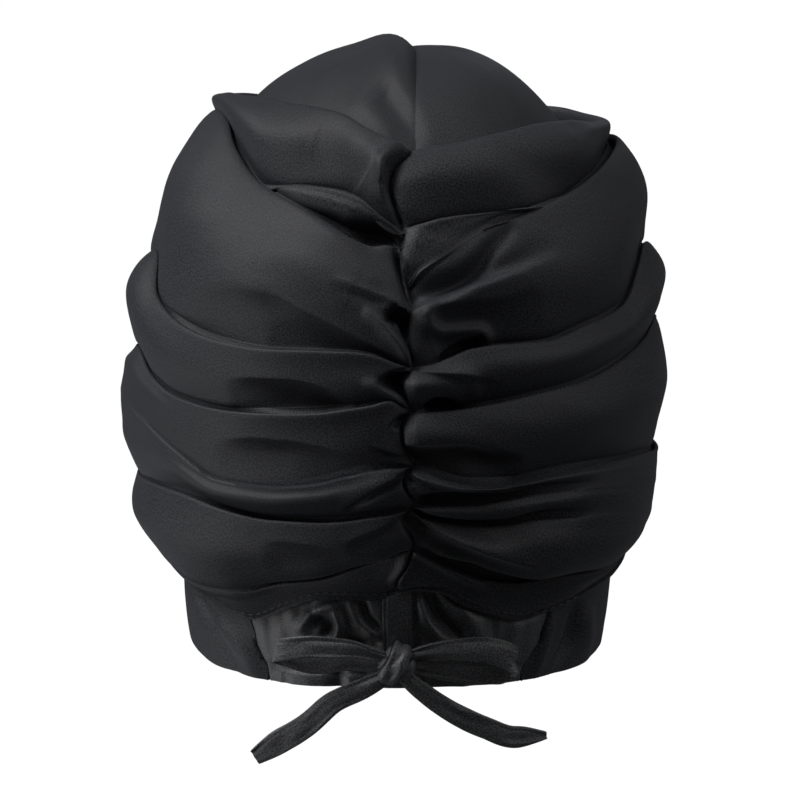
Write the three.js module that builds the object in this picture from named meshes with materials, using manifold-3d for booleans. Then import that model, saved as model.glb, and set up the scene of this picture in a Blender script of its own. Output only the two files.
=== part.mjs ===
// A turban-style swim cap, in millimetres. +Z is up, +Y is the way the wearer faces, and the
// origin is the centre of the head opening. Two cap panels meet in a centre seam over the crown
// and end at the hem. Two wrap halves lie over them in deep pleats, drawn together in a gathered
// seam down the centre back. Below that a gathered nape panel closes the hem, with a short strip
// at its centre and a flat tie knotted into a bow in front of it.
import * as THREE from "three";
import { mergeVertices } from "three/addons/utils/BufferGeometryUtils.js";
import Module from "manifold-3d";

const wasm = await Module();
wasm.setup();

// Head opening and cap panels.
const HEM_DROP = 20; // the nape's hem is this far below the origin, and the front's as far above
const CAP_TOP = 218;
const CAP_WIDEST = 100; // height of the level where the cap is widest
const DOME_FULLNESS = 2.25; // exponent of the crown's superellipse
// The cap's reach from the vertical axis at its widest level, the share of it that is lost down to
// the hem, and how late the loss sets in.
const CAP_REACH = {
  side: { widest: 85, taper: 0.06, onset: 5 },
  back: { widest: 98, taper: 0.12, onset: 2 },
  front: { widest: 97, taper: 0.08, onset: 2 },
};
const CAP_WALL = 1.2;
const SEAM_GAP = 0.3; // between two pieces that are sewn together

// Wrap.
const WRAP_WALL = 2;
const WRAP_CLEARANCE = 0.6; // between the wrap's inside and the cap
const DOME_MARGIN = 1.2; // how much wider that is measured level, where the dome slopes
const SEAM_GROOVE = 5; // how deep the gathered seam draws the wrap in
const SEAM_GROOVE_WIDTH = 7;
const SEAM_SHIFT = 6.5; // how far the gathered seam and the crown's seam wander to the right
const SEAM_SHIFT_REACH = 32; // how far from the seam that still moves the cloth
const SEAM_SHIFT_RISE = { from: 15, to: 60 }; // heights over which it sets in
const SEAM_SHIFT_END = { from: -20, to: 60 }; // y over which it dies away, over the crown
const RIM_HALF_HEIGHT = 2; // from a fold's rim to the middle of its roll

// Nape panel and strip.
const NAPE_HALF_ANGLE = 41; // degrees either side of the centre back
const NAPE_SIDE_GAP = 0.6; // degrees the nape panel stops short of that on each side
const NAPE_PLAIN_EDGE = 12; // degrees in from its sides over which the gathers set in
const NAPE_TOP_GATHER = 0.2; // share of the gathers' depth that is left along the top seam
const NAPE_WALL = 1.5;
const NAPE_SEAM_GAP = 0.9; // between the nape panel's top edge and the cap and wrap above it
const NAPE_GATHERS = 9;
const NAPE_GATHER_DEPTH = 1.6;
const NAPE_ROWS = [0, 0.3, 0.65, 1]; // shares of the way down
const NAPE_COLUMNS = 46;
const STRIP_WIDTH = 10;
const STRIP_WALL = 1.2;
const STRIP_STAND_OFF = 1.9; // from the nape panel's mean surface to the strip
const STRIP_ROWS = [0.06, 0.35, 0.65, 0.96]; // shares of the way down the nape panel
const STRIP_COLUMNS = [-1, -0.5, 0, 0.5, 1]; // shares of half its width

// Tie.
const TIE_WIDTH = 8.5;
const TIE_WALL = 1.6;
// The tie's section, as shares of half its width and of its wall.
const TIE_SECTION = [
  [-1, 0], [-0.8, 0.5], [0, 0.5], [0.8, 0.5], [1, 0], [0.8, -0.5], [0, -0.5], [-0.8, -0.5],
];
const LOOP_STEPS = 20; // along a loop of the bow
const TAIL_STEPS = 14;
const KNOT_FACETS = { round: 14, down: 10 };

const SAME_PLACE = 1e-4; // points closer together than this are one corner

// The hem's height at each azimuth, as a share of its drop.
const HEM_STATIONS = [0, 30, 60, 90, 120, 150, 180];
const HEM_RISE = [-1, -1.02, -1, -0.65, 0.1, 0.75, 1];

const SLEEK_BLACK = { color: 0x1b1c20, roughness: 0.55, metalness: 0 };
const SATIN_BLACK = { color: 0x1d1e23, roughness: 0.4, metalness: 0 };

const radians = THREE.MathUtils.degToRad;
const lerp = THREE.MathUtils.lerp;

// The wrap's mean surface: horizontal reach from the vertical axis at each height.
const WRAP_SECTIONS = [
  { z: -25, left: 81, right: 81, back: 86, front: 90 },
  { z: 0, left: 84, right: 84, back: 92, front: 93 },
  { z: 8, left: 89, right: 89, back: 95, front: 96 },
  { z: 20, left: 96, right: 96, back: 101, front: 99 },
  { z: 37, left: 101, right: 101, back: 109, front: 103 },
  { z: 60, left: 102, right: 102, back: 114, front: 106 },
  { z: 90, left: 102, right: 102, back: 116, front: 108 },
  { z: 120, left: 100, right: 101, back: 112, front: 107 },
  { z: 150, left: 91, right: 95, back: 101, front: 102 },
  { z: 165, left: 84, right: 91, back: 94, front: 95 },
  { z: 178, left: 77, right: 86, back: 86, front: 88 },
  { z: 190, left: 70, right: 77, back: 78, front: 80 },
  { z: 200, left: 62, right: 66, back: 68, front: 70 },
  { z: 210, left: 50, right: 52, back: 54, front: 56 },
];

// Degrees round the head from the centre back, where the fold tables give their heights.
const STATIONS = [0, 12, 28, 45, 65, 88, 135, 180];

// Each row is a fold's rim: its height at each station, and how deep the cloth above it tucks in
// behind it next to the seam, at the back, at the side and at the front.
const LEFT_FOLDS = [
  { name: "top_roll", height: [184, 191, 197, 198, 199, 196, 192, 186], tuck: [0, 0, 0, 0] },
  { name: "shoulder", height: [155, 167, 170, 174, 184, 189, 178, 168], tuck: [2, 5, 4, 1] },
  { name: "small_tuck", height: [126, 130, 135, 141, 151, 162, 158, 150], tuck: [4, 0, 0, 0] },
  { name: "high_cowl", height: [106, 111, 111, 114, 121, 137, 138, 132], tuck: [2, 6, 9, 2] },
  { name: "low_cowl", height: [89, 91, 87, 87, 94, 107, 112, 108], tuck: [2, 6, 8, 2] },
  { name: "soft_fold", height: [68, 61, 58, 60, 63, 68, 84, 88], tuck: [2, 2, 3, 1] },
  { name: "long_crease", height: [53, 47, 46, 49, 52, 51, 62, 70], tuck: [2, 4, 4, 2] },
  { name: "low_tuck", height: [36, 25, 20, 24, 29, 32, 46, 54], tuck: [2, 3, 1, 1] },
  { name: "lower_edge", height: [22, 19, 8, 7, 11, 16, 30, 40], tuck: [0, 0, 0, 0] },
];
const RIGHT_FOLDS = [
  { name: "top_roll", height: [184, 185, 188, 190, 191, 190, 190, 186], tuck: [0, 0, 0, 0] },
  { name: "shoulder", height: [155, 158, 161, 164, 168, 175, 174, 168], tuck: [2, 5, 5, 1] },
  { name: "branch", height: [134, 145, 154, 157, 158, 160, 157, 150], tuck: [2, 3, 0, 0] },
  { name: "high_cowl", height: [105, 109, 112, 117, 122, 139, 138, 132], tuck: [2, 6, 9, 2] },
  { name: "low_cowl", height: [88, 90, 92, 96, 102, 112, 112, 108], tuck: [2, 6, 8, 2] },
  { name: "soft_fold", height: [68, 62, 62, 63, 62, 60, 80, 88], tuck: [2, 4, 4, 1] },
  { name: "long_crease", height: [53, 48, 46, 48, 47, 45, 60, 70], tuck: [2, 3, 2, 2] },
  { name: "low_tuck", height: [36, 28, 24, 22, 26, 30, 45, 54], tuck: [2, 4, 4, 1] },
  { name: "lower_edge", height: [22, 16, 7, 7, 14, 18, 30, 40], tuck: [0, 0, 0, 0] },
];
const TUCK_STATIONS = [0, 30, 88, 180];

// The belly and the lower belly of one pleat: how far down each lies from its own rim (0) to the
// next (1), and how far out of the wrap's mean surface it stands.
const PLEAT_ROWS = [
  { down: 0.35, out: 2.6 },
  { down: 0.7, out: 1.6 },
];
const ROLL_OUT = 1.2; // how far out the roll just under a rim stands
const TUCK_ABOVE_RIM = 1; // the cloth above tucks in this far above the next rim
const LOWER_EDGE_OUT = -4; // the wrap's lower edge is drawn in to the cap
// The wrap's top edge, turned in over the crown: how far above the top roll, and how far out.
const TOP_HEM = [
  { rise: -2.5, out: -9 },
  { rise: 0.5, out: -3.5 },
];
// Degrees round from the centre back at which a cap panel is modelled, behind the nape panel's side
// and past it, and the step between them; its dome's latitudes and its skirt's shares of height.
const CAP_BACK_COLUMNS = [0, 8, 16, 24, 32];
const CAP_SIDE_COLUMNS = [50, 60, 70, 80, 90, 105, 120, 135, 150, 165, 180];
const NAPE_STEP = 0.4;
const DOME_LATITUDES = [90, 80, 70, 60, 50, 40, 28, 14, 0];
const SKIRT_SHARES = [0.25, 0.5, 0.75, 1];
// Degrees round from the gathered seam at which the wrap is modelled, closer together near it.
const WRAP_COLUMNS = [
  0, 2, 5, 9, 14, 20, 28, 36, 45, 54, 63, 72, 81, 90, 101, 112, 124, 137, 151, 166, 180,
];

// The bow: each row is a station along a ribbon, with the place of its middle and its share of the
// tie's width. Its y is measured from the bow's middle plane. Ribbons start inside the knot.
const BOW_PLANE = -97.4; // the knot's back lies a small gap behind the strip
const BOW_BEND = 0.003; // how fast the bow bends round the nape away from the knot, per mm
const KNOT = { width: 16, depth: 11, height: 15, lean: -12, x: 0.4, z: -8.6 };
const LEFT_LOOP = [
  { x: -2, y: -0.8, z: -6.8, share: 0.5 },
  { x: -8, y: -1.6, z: -4.8, share: 0.6 },
  { x: -19, y: -3.2, z: -2.4, share: 0.8 },
  { x: -31, y: -3.6, z: -2.0, share: 1 },
  { x: -43, y: -2.4, z: -3.8, share: 1 },
  { x: -46, y: 0, z: -5.0, share: 0.95 },
  { x: -43, y: 2.4, z: -6.6, share: 0.95 },
  { x: -31, y: 2.8, z: -9.4, share: 0.95 },
  { x: -19, y: 2.2, z: -8.4, share: 0.85 },
  { x: -8, y: 2, z: -8.8, share: 0.75 },
  { x: -2, y: 1.6, z: -9.4, share: 0.5 },
];
const RIGHT_LOOP = [
  { x: 3, y: -0.8, z: -6.4, share: 0.5 },
  { x: 11, y: -1.8, z: -3.2, share: 0.65 },
  { x: 20, y: -3.2, z: -2.4, share: 0.85 },
  { x: 31, y: -3.6, z: -2.8, share: 1.1 },
  { x: 41, y: -2.4, z: -6.0, share: 1.2 },
  { x: 44, y: 0, z: -8.6, share: 1.2 },
  { x: 41, y: 2.4, z: -11.2, share: 1.2 },
  { x: 31, y: 2.8, z: -12.6, share: 1.1 },
  { x: 20, y: 2.2, z: -11.6, share: 1 },
  { x: 10, y: 2, z: -10.2, share: 0.75 },
  { x: 3, y: 1.6, z: -9.6, share: 0.5 },
];
const LEFT_TAIL = [
  { x: -1, y: 0.4, z: -10.4, share: 0.6 },
  { x: -6, y: 0.2, z: -14.4, share: 0.75 },
  { x: -12, y: 0, z: -17.6, share: 0.9 },
  { x: -24, y: -0.6, z: -23.4, share: 1 },
  { x: -34, y: 0.2, z: -32.6, share: 1.1 },
  { x: -44, y: 0.8, z: -39.2, share: 1.1 },
  { x: -53.6, y: 0.6, z: -46.4, share: 0.35 },
];
const RIGHT_TAIL = [
  { x: 1, y: 0.4, z: -10.4, share: 0.6 },
  { x: 5, y: 0.2, z: -15.2, share: 0.75 },
  { x: 10, y: 0, z: -19.4, share: 0.85 },
  { x: 20, y: -0.6, z: -26.6, share: 0.95 },
  { x: 33, y: 0.2, z: -33.6, share: 1 },
  { x: 45, y: 0.8, z: -37.8, share: 1 },
  { x: 56, y: 0.6, z: -37.6, share: 0.35 },
];

// Smooth interpolation through (at, value) pairs that never overshoots them.
function smooth(at, value, x) {
  const last = at.length - 1;
  if (x <= at[0]) return value[0];
  if (x >= at[last]) return value[last];
  let i = 0;
  while (x > at[i + 1]) i += 1;
  const rise = (k) => (value[k + 1] - value[k]) / (at[k + 1] - at[k]);
  const slope = (k) => {
    if (k === 0 || k === last) return 0;
    const [before, after] = [rise(k - 1), rise(k)];
    return before * after <= 0 ? 0 : (2 * before * after) / (before + after);
  };
  const span = at[i + 1] - at[i];
  const t = (x - at[i]) / span;
  const [t2, t3] = [t * t, t * t * t];
  return (
    (2 * t3 - 3 * t2 + 1) * value[i] +
    (t3 - 2 * t2 + t) * span * slope(i) +
    (3 * t2 - 2 * t3) * value[i + 1] +
    (t3 - t2) * span * slope(i + 1)
  );
}

// A closed wall between two grids of points with the same rows and columns.
function wallBetween(outer, inner) {
  const [rows, columns] = [outer.length, outer[0].length];
  const points = [...outer.flat(), ...inner.flat()];
  const at = (layer, r, c) => (layer * rows + r) * columns + c;
  const faces = [];
  const quad = (a, b, c, d) => faces.push([a, b, c], [a, c, d]);
  for (let r = 0; r + 1 < rows; r += 1) {
    for (let c = 0; c + 1 < columns; c += 1) {
      quad(at(0, r, c), at(0, r + 1, c), at(0, r + 1, c + 1), at(0, r, c + 1));
      quad(at(1, r, c), at(1, r, c + 1), at(1, r + 1, c + 1), at(1, r + 1, c));
    }
  }
  for (let c = 0; c + 1 < columns; c += 1) {
    quad(at(0, 0, c), at(0, 0, c + 1), at(1, 0, c + 1), at(1, 0, c));
    quad(at(0, rows - 1, c + 1), at(0, rows - 1, c), at(1, rows - 1, c), at(1, rows - 1, c + 1));
  }
  for (let r = 0; r + 1 < rows; r += 1) {
    quad(at(0, r + 1, 0), at(0, r, 0), at(1, r, 0), at(1, r + 1, 0));
    quad(at(0, r, columns - 1), at(0, r + 1, columns - 1), at(1, r + 1, columns - 1), at(1, r, columns - 1));
  }
  return closedGeometry(points, faces);
}

// A closed body lofted through rings of points, with a fan over each end.
function loft(rings) {
  const count = rings[0].length;
  const faces = [];
  for (let r = 0; r + 1 < rings.length; r += 1) {
    for (let k = 0; k < count; k += 1) {
      const [a, b] = [r * count + k, r * count + ((k + 1) % count)];
      faces.push([a, b, b + count], [a, b + count, a + count]);
    }
  }
  const end = (rings.length - 1) * count;
  for (let k = 1; k + 1 < count; k += 1) {
    faces.push([0, k + 1, k], [end, end + k, end + k + 1]);
  }
  return closedGeometry(rings.flat(), faces);
}

// A geometry of these faces, without those that shrank to a line, and turned to face outwards.
function closedGeometry(points, faces) {
  const [p, q, r] = [new THREE.Vector3(), new THREE.Vector3(), new THREE.Vector3()];
  const same = (a, b) => points[a].distanceTo(points[b]) < SAME_PLACE;
  const kept = faces.filter(([a, b, c]) => !same(a, b) && !same(b, c) && !same(a, c));
  const volume = kept.reduce(
    (sum, [a, b, c]) => sum + p.copy(points[a]).dot(q.copy(points[b]).cross(r.copy(points[c]))),
    0,
  );
  const outward = volume < 0 ? kept.map(([a, b, c]) => [a, c, b]) : kept;
  const geometry = new THREE.BufferGeometry().setFromPoints(points);
  geometry.setIndex(outward.flat());
  geometry.computeVertexNormals();
  return geometry;
}

// Height of the hem: low across the nape and over the ears, then rising to the forehead.
function hemHeight(azimuth) {
  return HEM_DROP * smooth(HEM_STATIONS, HEM_RISE, azimuth);
}

// The cap's reach at a height, towards its side, back or front.
function capReach(way, z) {
  const { widest, taper, onset } = CAP_REACH[way];
  if (z <= CAP_WIDEST) return widest * (1 - taper * ((CAP_WIDEST - z) / (CAP_WIDEST + HEM_DROP)) ** onset);
  const rise = Math.min(1, (z - CAP_WIDEST) / (CAP_TOP - CAP_WIDEST));
  return widest * (1 - rise ** DOME_FULLNESS) ** (1 / DOME_FULLNESS);
}

// A point on an oval with these reaches, at an azimuth in degrees from the centre back.
function onOval(azimuth, side, back, front, z) {
  const a = radians(azimuth);
  const depth = Math.cos(a) > 0 ? back : front;
  return new THREE.Vector3(side * Math.sin(a), -depth * Math.cos(a), z);
}

// A point of the cap's outside, moved inwards by a wall's depth.
function capPoint(azimuth, z, depth) {
  const point = onOval(azimuth, capReach("side", z), capReach("back", z), capReach("front", z), z);
  const centre = new THREE.Vector3(0, 0, Math.min(z, CAP_WIDEST));
  return point.add(centre.sub(point).setLength(depth));
}

// The wrap's mean surface at an azimuth and height, on the side named left or right.
function wrapForm(side, azimuth, z) {
  const heights = WRAP_SECTIONS.map((s) => s.z);
  const reach = (key) => smooth(heights, WRAP_SECTIONS.map((s) => s[key]), z);
  return onOval(azimuth, reach(side), reach("back"), reach("front"), z);
}

// The outward normal of the wrap's mean surface.
function wrapNormal(side, azimuth, z) {
  const step = 1;
  const across = wrapForm(side, azimuth + step, z).sub(wrapForm(side, azimuth - step, z));
  const up = wrapForm(side, azimuth, z + step).sub(wrapForm(side, azimuth, z - step));
  return across.cross(up).normalize();
}

// Moves a point outwards along its own level until it is clear of the cap by a margin.
function clearOfCap(point, margin) {
  const { x, y, z } = point;
  const depth = capReach(y < 0 ? "back" : "front", z);
  const least = margin * (z > CAP_WIDEST ? DOME_MARGIN : 1);
  const reach = Math.hypot(x / (capReach("side", z) + least), y / (depth + least));
  return reach < 1 ? new THREE.Vector3(x / reach, y / reach, z) : point;
}

// Moves a point of the back or crown to the right with the wandering seam.
function withSeamShift(point) {
  const { smoothstep } = THREE.MathUtils;
  const near = Math.exp(-((point.x / SEAM_SHIFT_REACH) ** 2));
  const risen = smoothstep(point.z, SEAM_SHIFT_RISE.from, SEAM_SHIFT_RISE.to);
  const ended = smoothstep(point.y, SEAM_SHIFT_END.from, SEAM_SHIFT_END.to);
  const where = risen * (1 - ended);
  return point.setX(point.x + SEAM_SHIFT * near * where);
}

// How far the gathered seam draws the wrap in at an azimuth.
function seamDraw(azimuth) {
  const along = CAP_REACH.back.widest * radians(azimuth);
  return SEAM_GROOVE * Math.exp(-((along / SEAM_GROOVE_WIDTH) ** 2));
}

// The rows of one column of the wrap, as heights and stand-offs from the mean surface.
function wrapColumn(folds, azimuth) {
  const rims = folds.map((fold) => ({
    z: smooth(STATIONS, fold.height, azimuth),
    tuck: smooth(TUCK_STATIONS, fold.tuck, azimuth),
  }));
  const top = rims[0].z;
  const rows = TOP_HEM.map(({ rise, out }) => ({ z: top + rise, out }));
  rims.slice(0, -1).forEach((rim, i) => {
    const next = rims[i + 1];
    rows.push({ z: rim.z - RIM_HALF_HEIGHT, out: ROLL_OUT });
    PLEAT_ROWS.forEach((row) => rows.push({ z: lerp(rim.z, next.z, row.down), out: row.out }));
    rows.push({ z: next.z + TUCK_ABOVE_RIM, out: ROLL_OUT - next.tuck });
  });
  rows[rows.length - 1] = { z: rims[rims.length - 1].z, out: LOWER_EDGE_OUT };
  return rows;
}

// One half of the wrap, from the gathered seam round to the centre front.
function wrapHalf(folds, side) {
  const name = side < 0 ? "left" : "right";
  const outer = [];
  const inner = [];
  WRAP_COLUMNS.forEach((azimuth) => {
    wrapColumn(folds, azimuth).forEach(({ z, out }, r) => {
      const normal = wrapNormal(name, azimuth, z);
      const middle = wrapForm(name, azimuth, z).addScaledVector(normal, out - seamDraw(azimuth));
      const outside = clearOfCap(middle, WRAP_WALL + WRAP_CLEARANCE);
      const inside = clearOfCap(outside.clone().addScaledVector(normal, -WRAP_WALL), WRAP_CLEARANCE);
      [outside, inside].forEach((point, layer) => {
        const grid = layer ? inner : outer;
        grid[r] = grid[r] || [];
        grid[r].push(withSeamShift(new THREE.Vector3(side * (point.x + SEAM_GAP / 2), point.y, point.z)));
      });
    });
  });
  return wallBetween(outer, inner);
}

// Height of the seam that joins the nape panel to the wrap and the cap.
function napeTop(azimuth, side) {
  const folds = side < 0 ? LEFT_FOLDS : RIGHT_FOLDS;
  return smooth(STATIONS, folds[folds.length - 1].height, azimuth);
}

// One cap panel: from the crown's seam to the hem, and above the nape panel at the back.
function capPanel(side) {
  const edge = NAPE_HALF_ANGLE;
  const columns = [...CAP_BACK_COLUMNS, edge, edge + NAPE_STEP, ...CAP_SIDE_COLUMNS];
  const domeZ = (latitude) =>
    CAP_WIDEST + (CAP_TOP - CAP_WIDEST) * Math.sin(radians(latitude)) ** (2 / DOME_FULLNESS);
  const grid = (depth) => {
    const heights = (azimuth) => {
      const bottom = azimuth <= edge ? napeTop(azimuth, side) + SEAM_GAP : hemHeight(azimuth);
      return [...DOME_LATITUDES.map(domeZ), ...SKIRT_SHARES.map((share) => lerp(CAP_WIDEST, bottom, share))];
    };
    return heights(0).map((_, r) =>
      columns.map((azimuth) => {
        const point = capPoint(azimuth, heights(azimuth)[r], depth);
        return withSeamShift(new THREE.Vector3(side * (Math.abs(point.x) + SEAM_GAP / 2), point.y, point.z));
      }),
    );
  };
  return wallBetween(grid(0), grid(CAP_WALL));
}

// The nape panel's surface at an azimuth that is negative on the left, standing off the cap's form.
function napePoint(azimuth, share, standOff) {
  const side = azimuth < 0 ? -1 : 1;
  const a = Math.abs(azimuth);
  const z = lerp(napeTop(a, side) - NAPE_SEAM_GAP, hemHeight(a), share);
  const point = capPoint(a, z, -standOff);
  return new THREE.Vector3(side * point.x, point.y, point.z);
}

// The nape panel: gathers that grow from the sewn top edge to the drawn-in hem.
function napePanel() {
  const limit = NAPE_HALF_ANGLE - NAPE_SIDE_GAP;
  const grid = (depth) =>
    NAPE_ROWS.map((share) =>
      Array.from({ length: NAPE_COLUMNS + 1 }, (_, c) => {
        const azimuth = lerp(-limit, limit, c / NAPE_COLUMNS);
        const wave = Math.cos((NAPE_GATHERS * Math.PI * azimuth) / limit);
        const fade = Math.min(1, (limit - Math.abs(azimuth)) / NAPE_PLAIN_EDGE);
        const depthHere = NAPE_GATHER_DEPTH * lerp(NAPE_TOP_GATHER, 1, share);
        return napePoint(azimuth, share, depthHere * wave * fade - depth);
      }),
    );
  return wallBetween(grid(0), grid(NAPE_WALL));
}

// The short strip down the nape panel's centre.
function napeStrip() {
  const halfAngle = THREE.MathUtils.radToDeg(STRIP_WIDTH / 2 / capReach("back", 0));
  const grid = (standOff) =>
    STRIP_ROWS.map((share) =>
      STRIP_COLUMNS.map((across) => napePoint(across * halfAngle, share, standOff)),
    );
  return wallBetween(grid(STRIP_STAND_OFF + STRIP_WALL), grid(STRIP_STAND_OFF));
}

// The knot's form: an egg-shaped ball, leaning a little, grown all round by a margin.
function knot(margin) {
  const geometry = new THREE.SphereGeometry(0.5, KNOT_FACETS.round, KNOT_FACETS.down);
  geometry.scale(KNOT.width + 2 * margin, KNOT.depth + 2 * margin, KNOT.height + 2 * margin);
  geometry.rotateY(radians(KNOT.lean));
  geometry.translate(KNOT.x, BOW_PLANE, KNOT.z);
  return geometry;
}

// A flat ribbon along its stations, its width as near upright as its run allows, cut off a small
// gap short of the knot.
function ribbon(stations, steps) {
  const run = new THREE.CatmullRomCurve3(
    stations.map((s) => new THREE.Vector3(s.x, BOW_PLANE + s.y + BOW_BEND * s.x ** 2, s.z)),
    false,
    "centripetal",
  );
  const shares = stations.map((s) => s.share);
  const at = shares.map((_, i) => i / (shares.length - 1));
  const rings = Array.from({ length: steps + 1 }, (_, i) => {
    const t = i / steps;
    const middle = run.getPoint(t);
    const along = run.getTangent(t);
    const wide = new THREE.Vector3(0, 0, 1).addScaledVector(along, -along.z).normalize();
    const thin = along.clone().cross(wide);
    const half = (TIE_WIDTH / 2) * smooth(at, shares, t);
    return TIE_SECTION.map(([w, d]) =>
      middle.clone().addScaledVector(wide, w * half).addScaledVector(thin, d * TIE_WALL),
    );
  });
  return toGeometry(toSolid(loft(rings)).subtract(toSolid(knot(SEAM_GAP))));
}

// Solids for cutting, and back.
function toSolid(geometry) {
  const bare = geometry.clone();
  ["normal", "uv"].forEach((name) => bare.deleteAttribute(name));
  const merged = mergeVertices(bare);
  return new wasm.Manifold(
    new wasm.Mesh({
      numProp: 3,
      vertProperties: Float32Array.from(merged.attributes.position.array),
      triVerts: Uint32Array.from(merged.index.array),
    }),
  );
}

function toGeometry(solid) {
  const mesh = solid.getMesh();
  const geometry = new THREE.BufferGeometry();
  geometry.setAttribute("position", new THREE.BufferAttribute(mesh.vertProperties, 3));
  geometry.setIndex(new THREE.BufferAttribute(mesh.triVerts, 1));
  geometry.computeVertexNormals();
  return geometry;
}

function piece(name, geometry, finish) {
  const mesh = new THREE.Mesh(geometry, new THREE.MeshStandardMaterial(finish));
  mesh.name = name;
  return mesh;
}

const cap = new THREE.Group();
cap.add(
  piece("cap_panel_left", capPanel(-1), SLEEK_BLACK),
  piece("cap_panel_right", capPanel(1), SLEEK_BLACK),
  piece("wrap_left", wrapHalf(LEFT_FOLDS, -1), SLEEK_BLACK),
  piece("wrap_right", wrapHalf(RIGHT_FOLDS, 1), SLEEK_BLACK),
  piece("nape_panel", napePanel(), SATIN_BLACK),
  piece("nape_strip", napeStrip(), SATIN_BLACK),
  piece("bow_knot", knot(0), SATIN_BLACK),
  piece("bow_loop_left", ribbon(LEFT_LOOP, LOOP_STEPS), SATIN_BLACK),
  piece("bow_loop_right", ribbon(RIGHT_LOOP, LOOP_STEPS), SATIN_BLACK),
  piece("tie_tail_left", ribbon(LEFT_TAIL, TAIL_STEPS), SATIN_BLACK),
  piece("tie_tail_right", ribbon(RIGHT_TAIL, TAIL_STEPS), SATIN_BLACK),
);

export default cap;
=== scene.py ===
"""A turban-style swim cap in black stretch satin, modelled in cloth around its CAD frame.

Lengths are in millimetres until a mesh is made. +Z is up, +Y is the way the wearer faces, and
azimuths are in degrees from the centre back, positive towards +X.
"""
import math
from collections import namedtuple

import bpy
import numpy as np
from bpy.props import FloatProperty, FloatVectorProperty, PointerProperty
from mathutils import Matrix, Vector
from mathutils.bvhtree import BVHTree


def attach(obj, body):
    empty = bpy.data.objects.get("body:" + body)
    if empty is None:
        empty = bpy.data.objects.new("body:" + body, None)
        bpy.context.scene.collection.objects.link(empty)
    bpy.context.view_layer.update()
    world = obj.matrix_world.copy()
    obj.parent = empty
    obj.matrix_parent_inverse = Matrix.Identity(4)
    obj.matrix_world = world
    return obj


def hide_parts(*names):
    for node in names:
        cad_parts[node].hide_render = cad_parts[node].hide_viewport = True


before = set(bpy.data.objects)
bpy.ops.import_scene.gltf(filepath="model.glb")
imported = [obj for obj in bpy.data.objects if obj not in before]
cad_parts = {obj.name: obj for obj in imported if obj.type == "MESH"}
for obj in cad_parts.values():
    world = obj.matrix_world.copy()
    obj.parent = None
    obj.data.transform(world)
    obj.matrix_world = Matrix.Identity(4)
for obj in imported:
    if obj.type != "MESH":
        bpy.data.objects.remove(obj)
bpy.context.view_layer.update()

bl_info = {
    "name": "Turban swim cap",
    "version": (1, 0, 0),
    "blender": (4, 5, 0),
    "location": "3D View > Sidebar > Swim cap",
    "description": "Makes a pleated turban-style swim cap with a gathered back seam and a nape bow",
    "category": "Add Mesh",
}

MM = 0.001
LEFT, RIGHT = -1, 1

# ---------------------------------------------------------------- the forms under the cloth

# The wrap's mean surface: its reach from the vertical axis at each height.
Section = namedtuple("Section", "z left right back front")
WRAP_SECTIONS = tuple(Section(*row) for row in (
    (-25, 81, 81, 86, 90), (0, 84, 84, 92, 93), (8, 89, 89, 95, 96), (20, 96, 96, 101, 99),
    (37, 101, 101, 109, 103), (60, 102, 102, 114, 106), (90, 102, 102, 116, 108), (120, 100, 101, 112, 107),
    (150, 91, 95, 101, 102), (165, 84, 91, 94, 95), (178, 77, 86, 86, 88), (190, 70, 77, 78, 80),
    (200, 62, 66, 68, 70), (210, 50, 52, 54, 56),
))

# Degrees round from the gathered seam at which each fold's height is given.
STATIONS = (0, 4, 8, 13, 20, 30, 42, 55, 68, 80, 95, 120, 150, 180)
# Degrees at which its other measures are given.
SHAPE_STATIONS = (0, 3, 8, 16, 30, 45, 90, 180)

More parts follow.
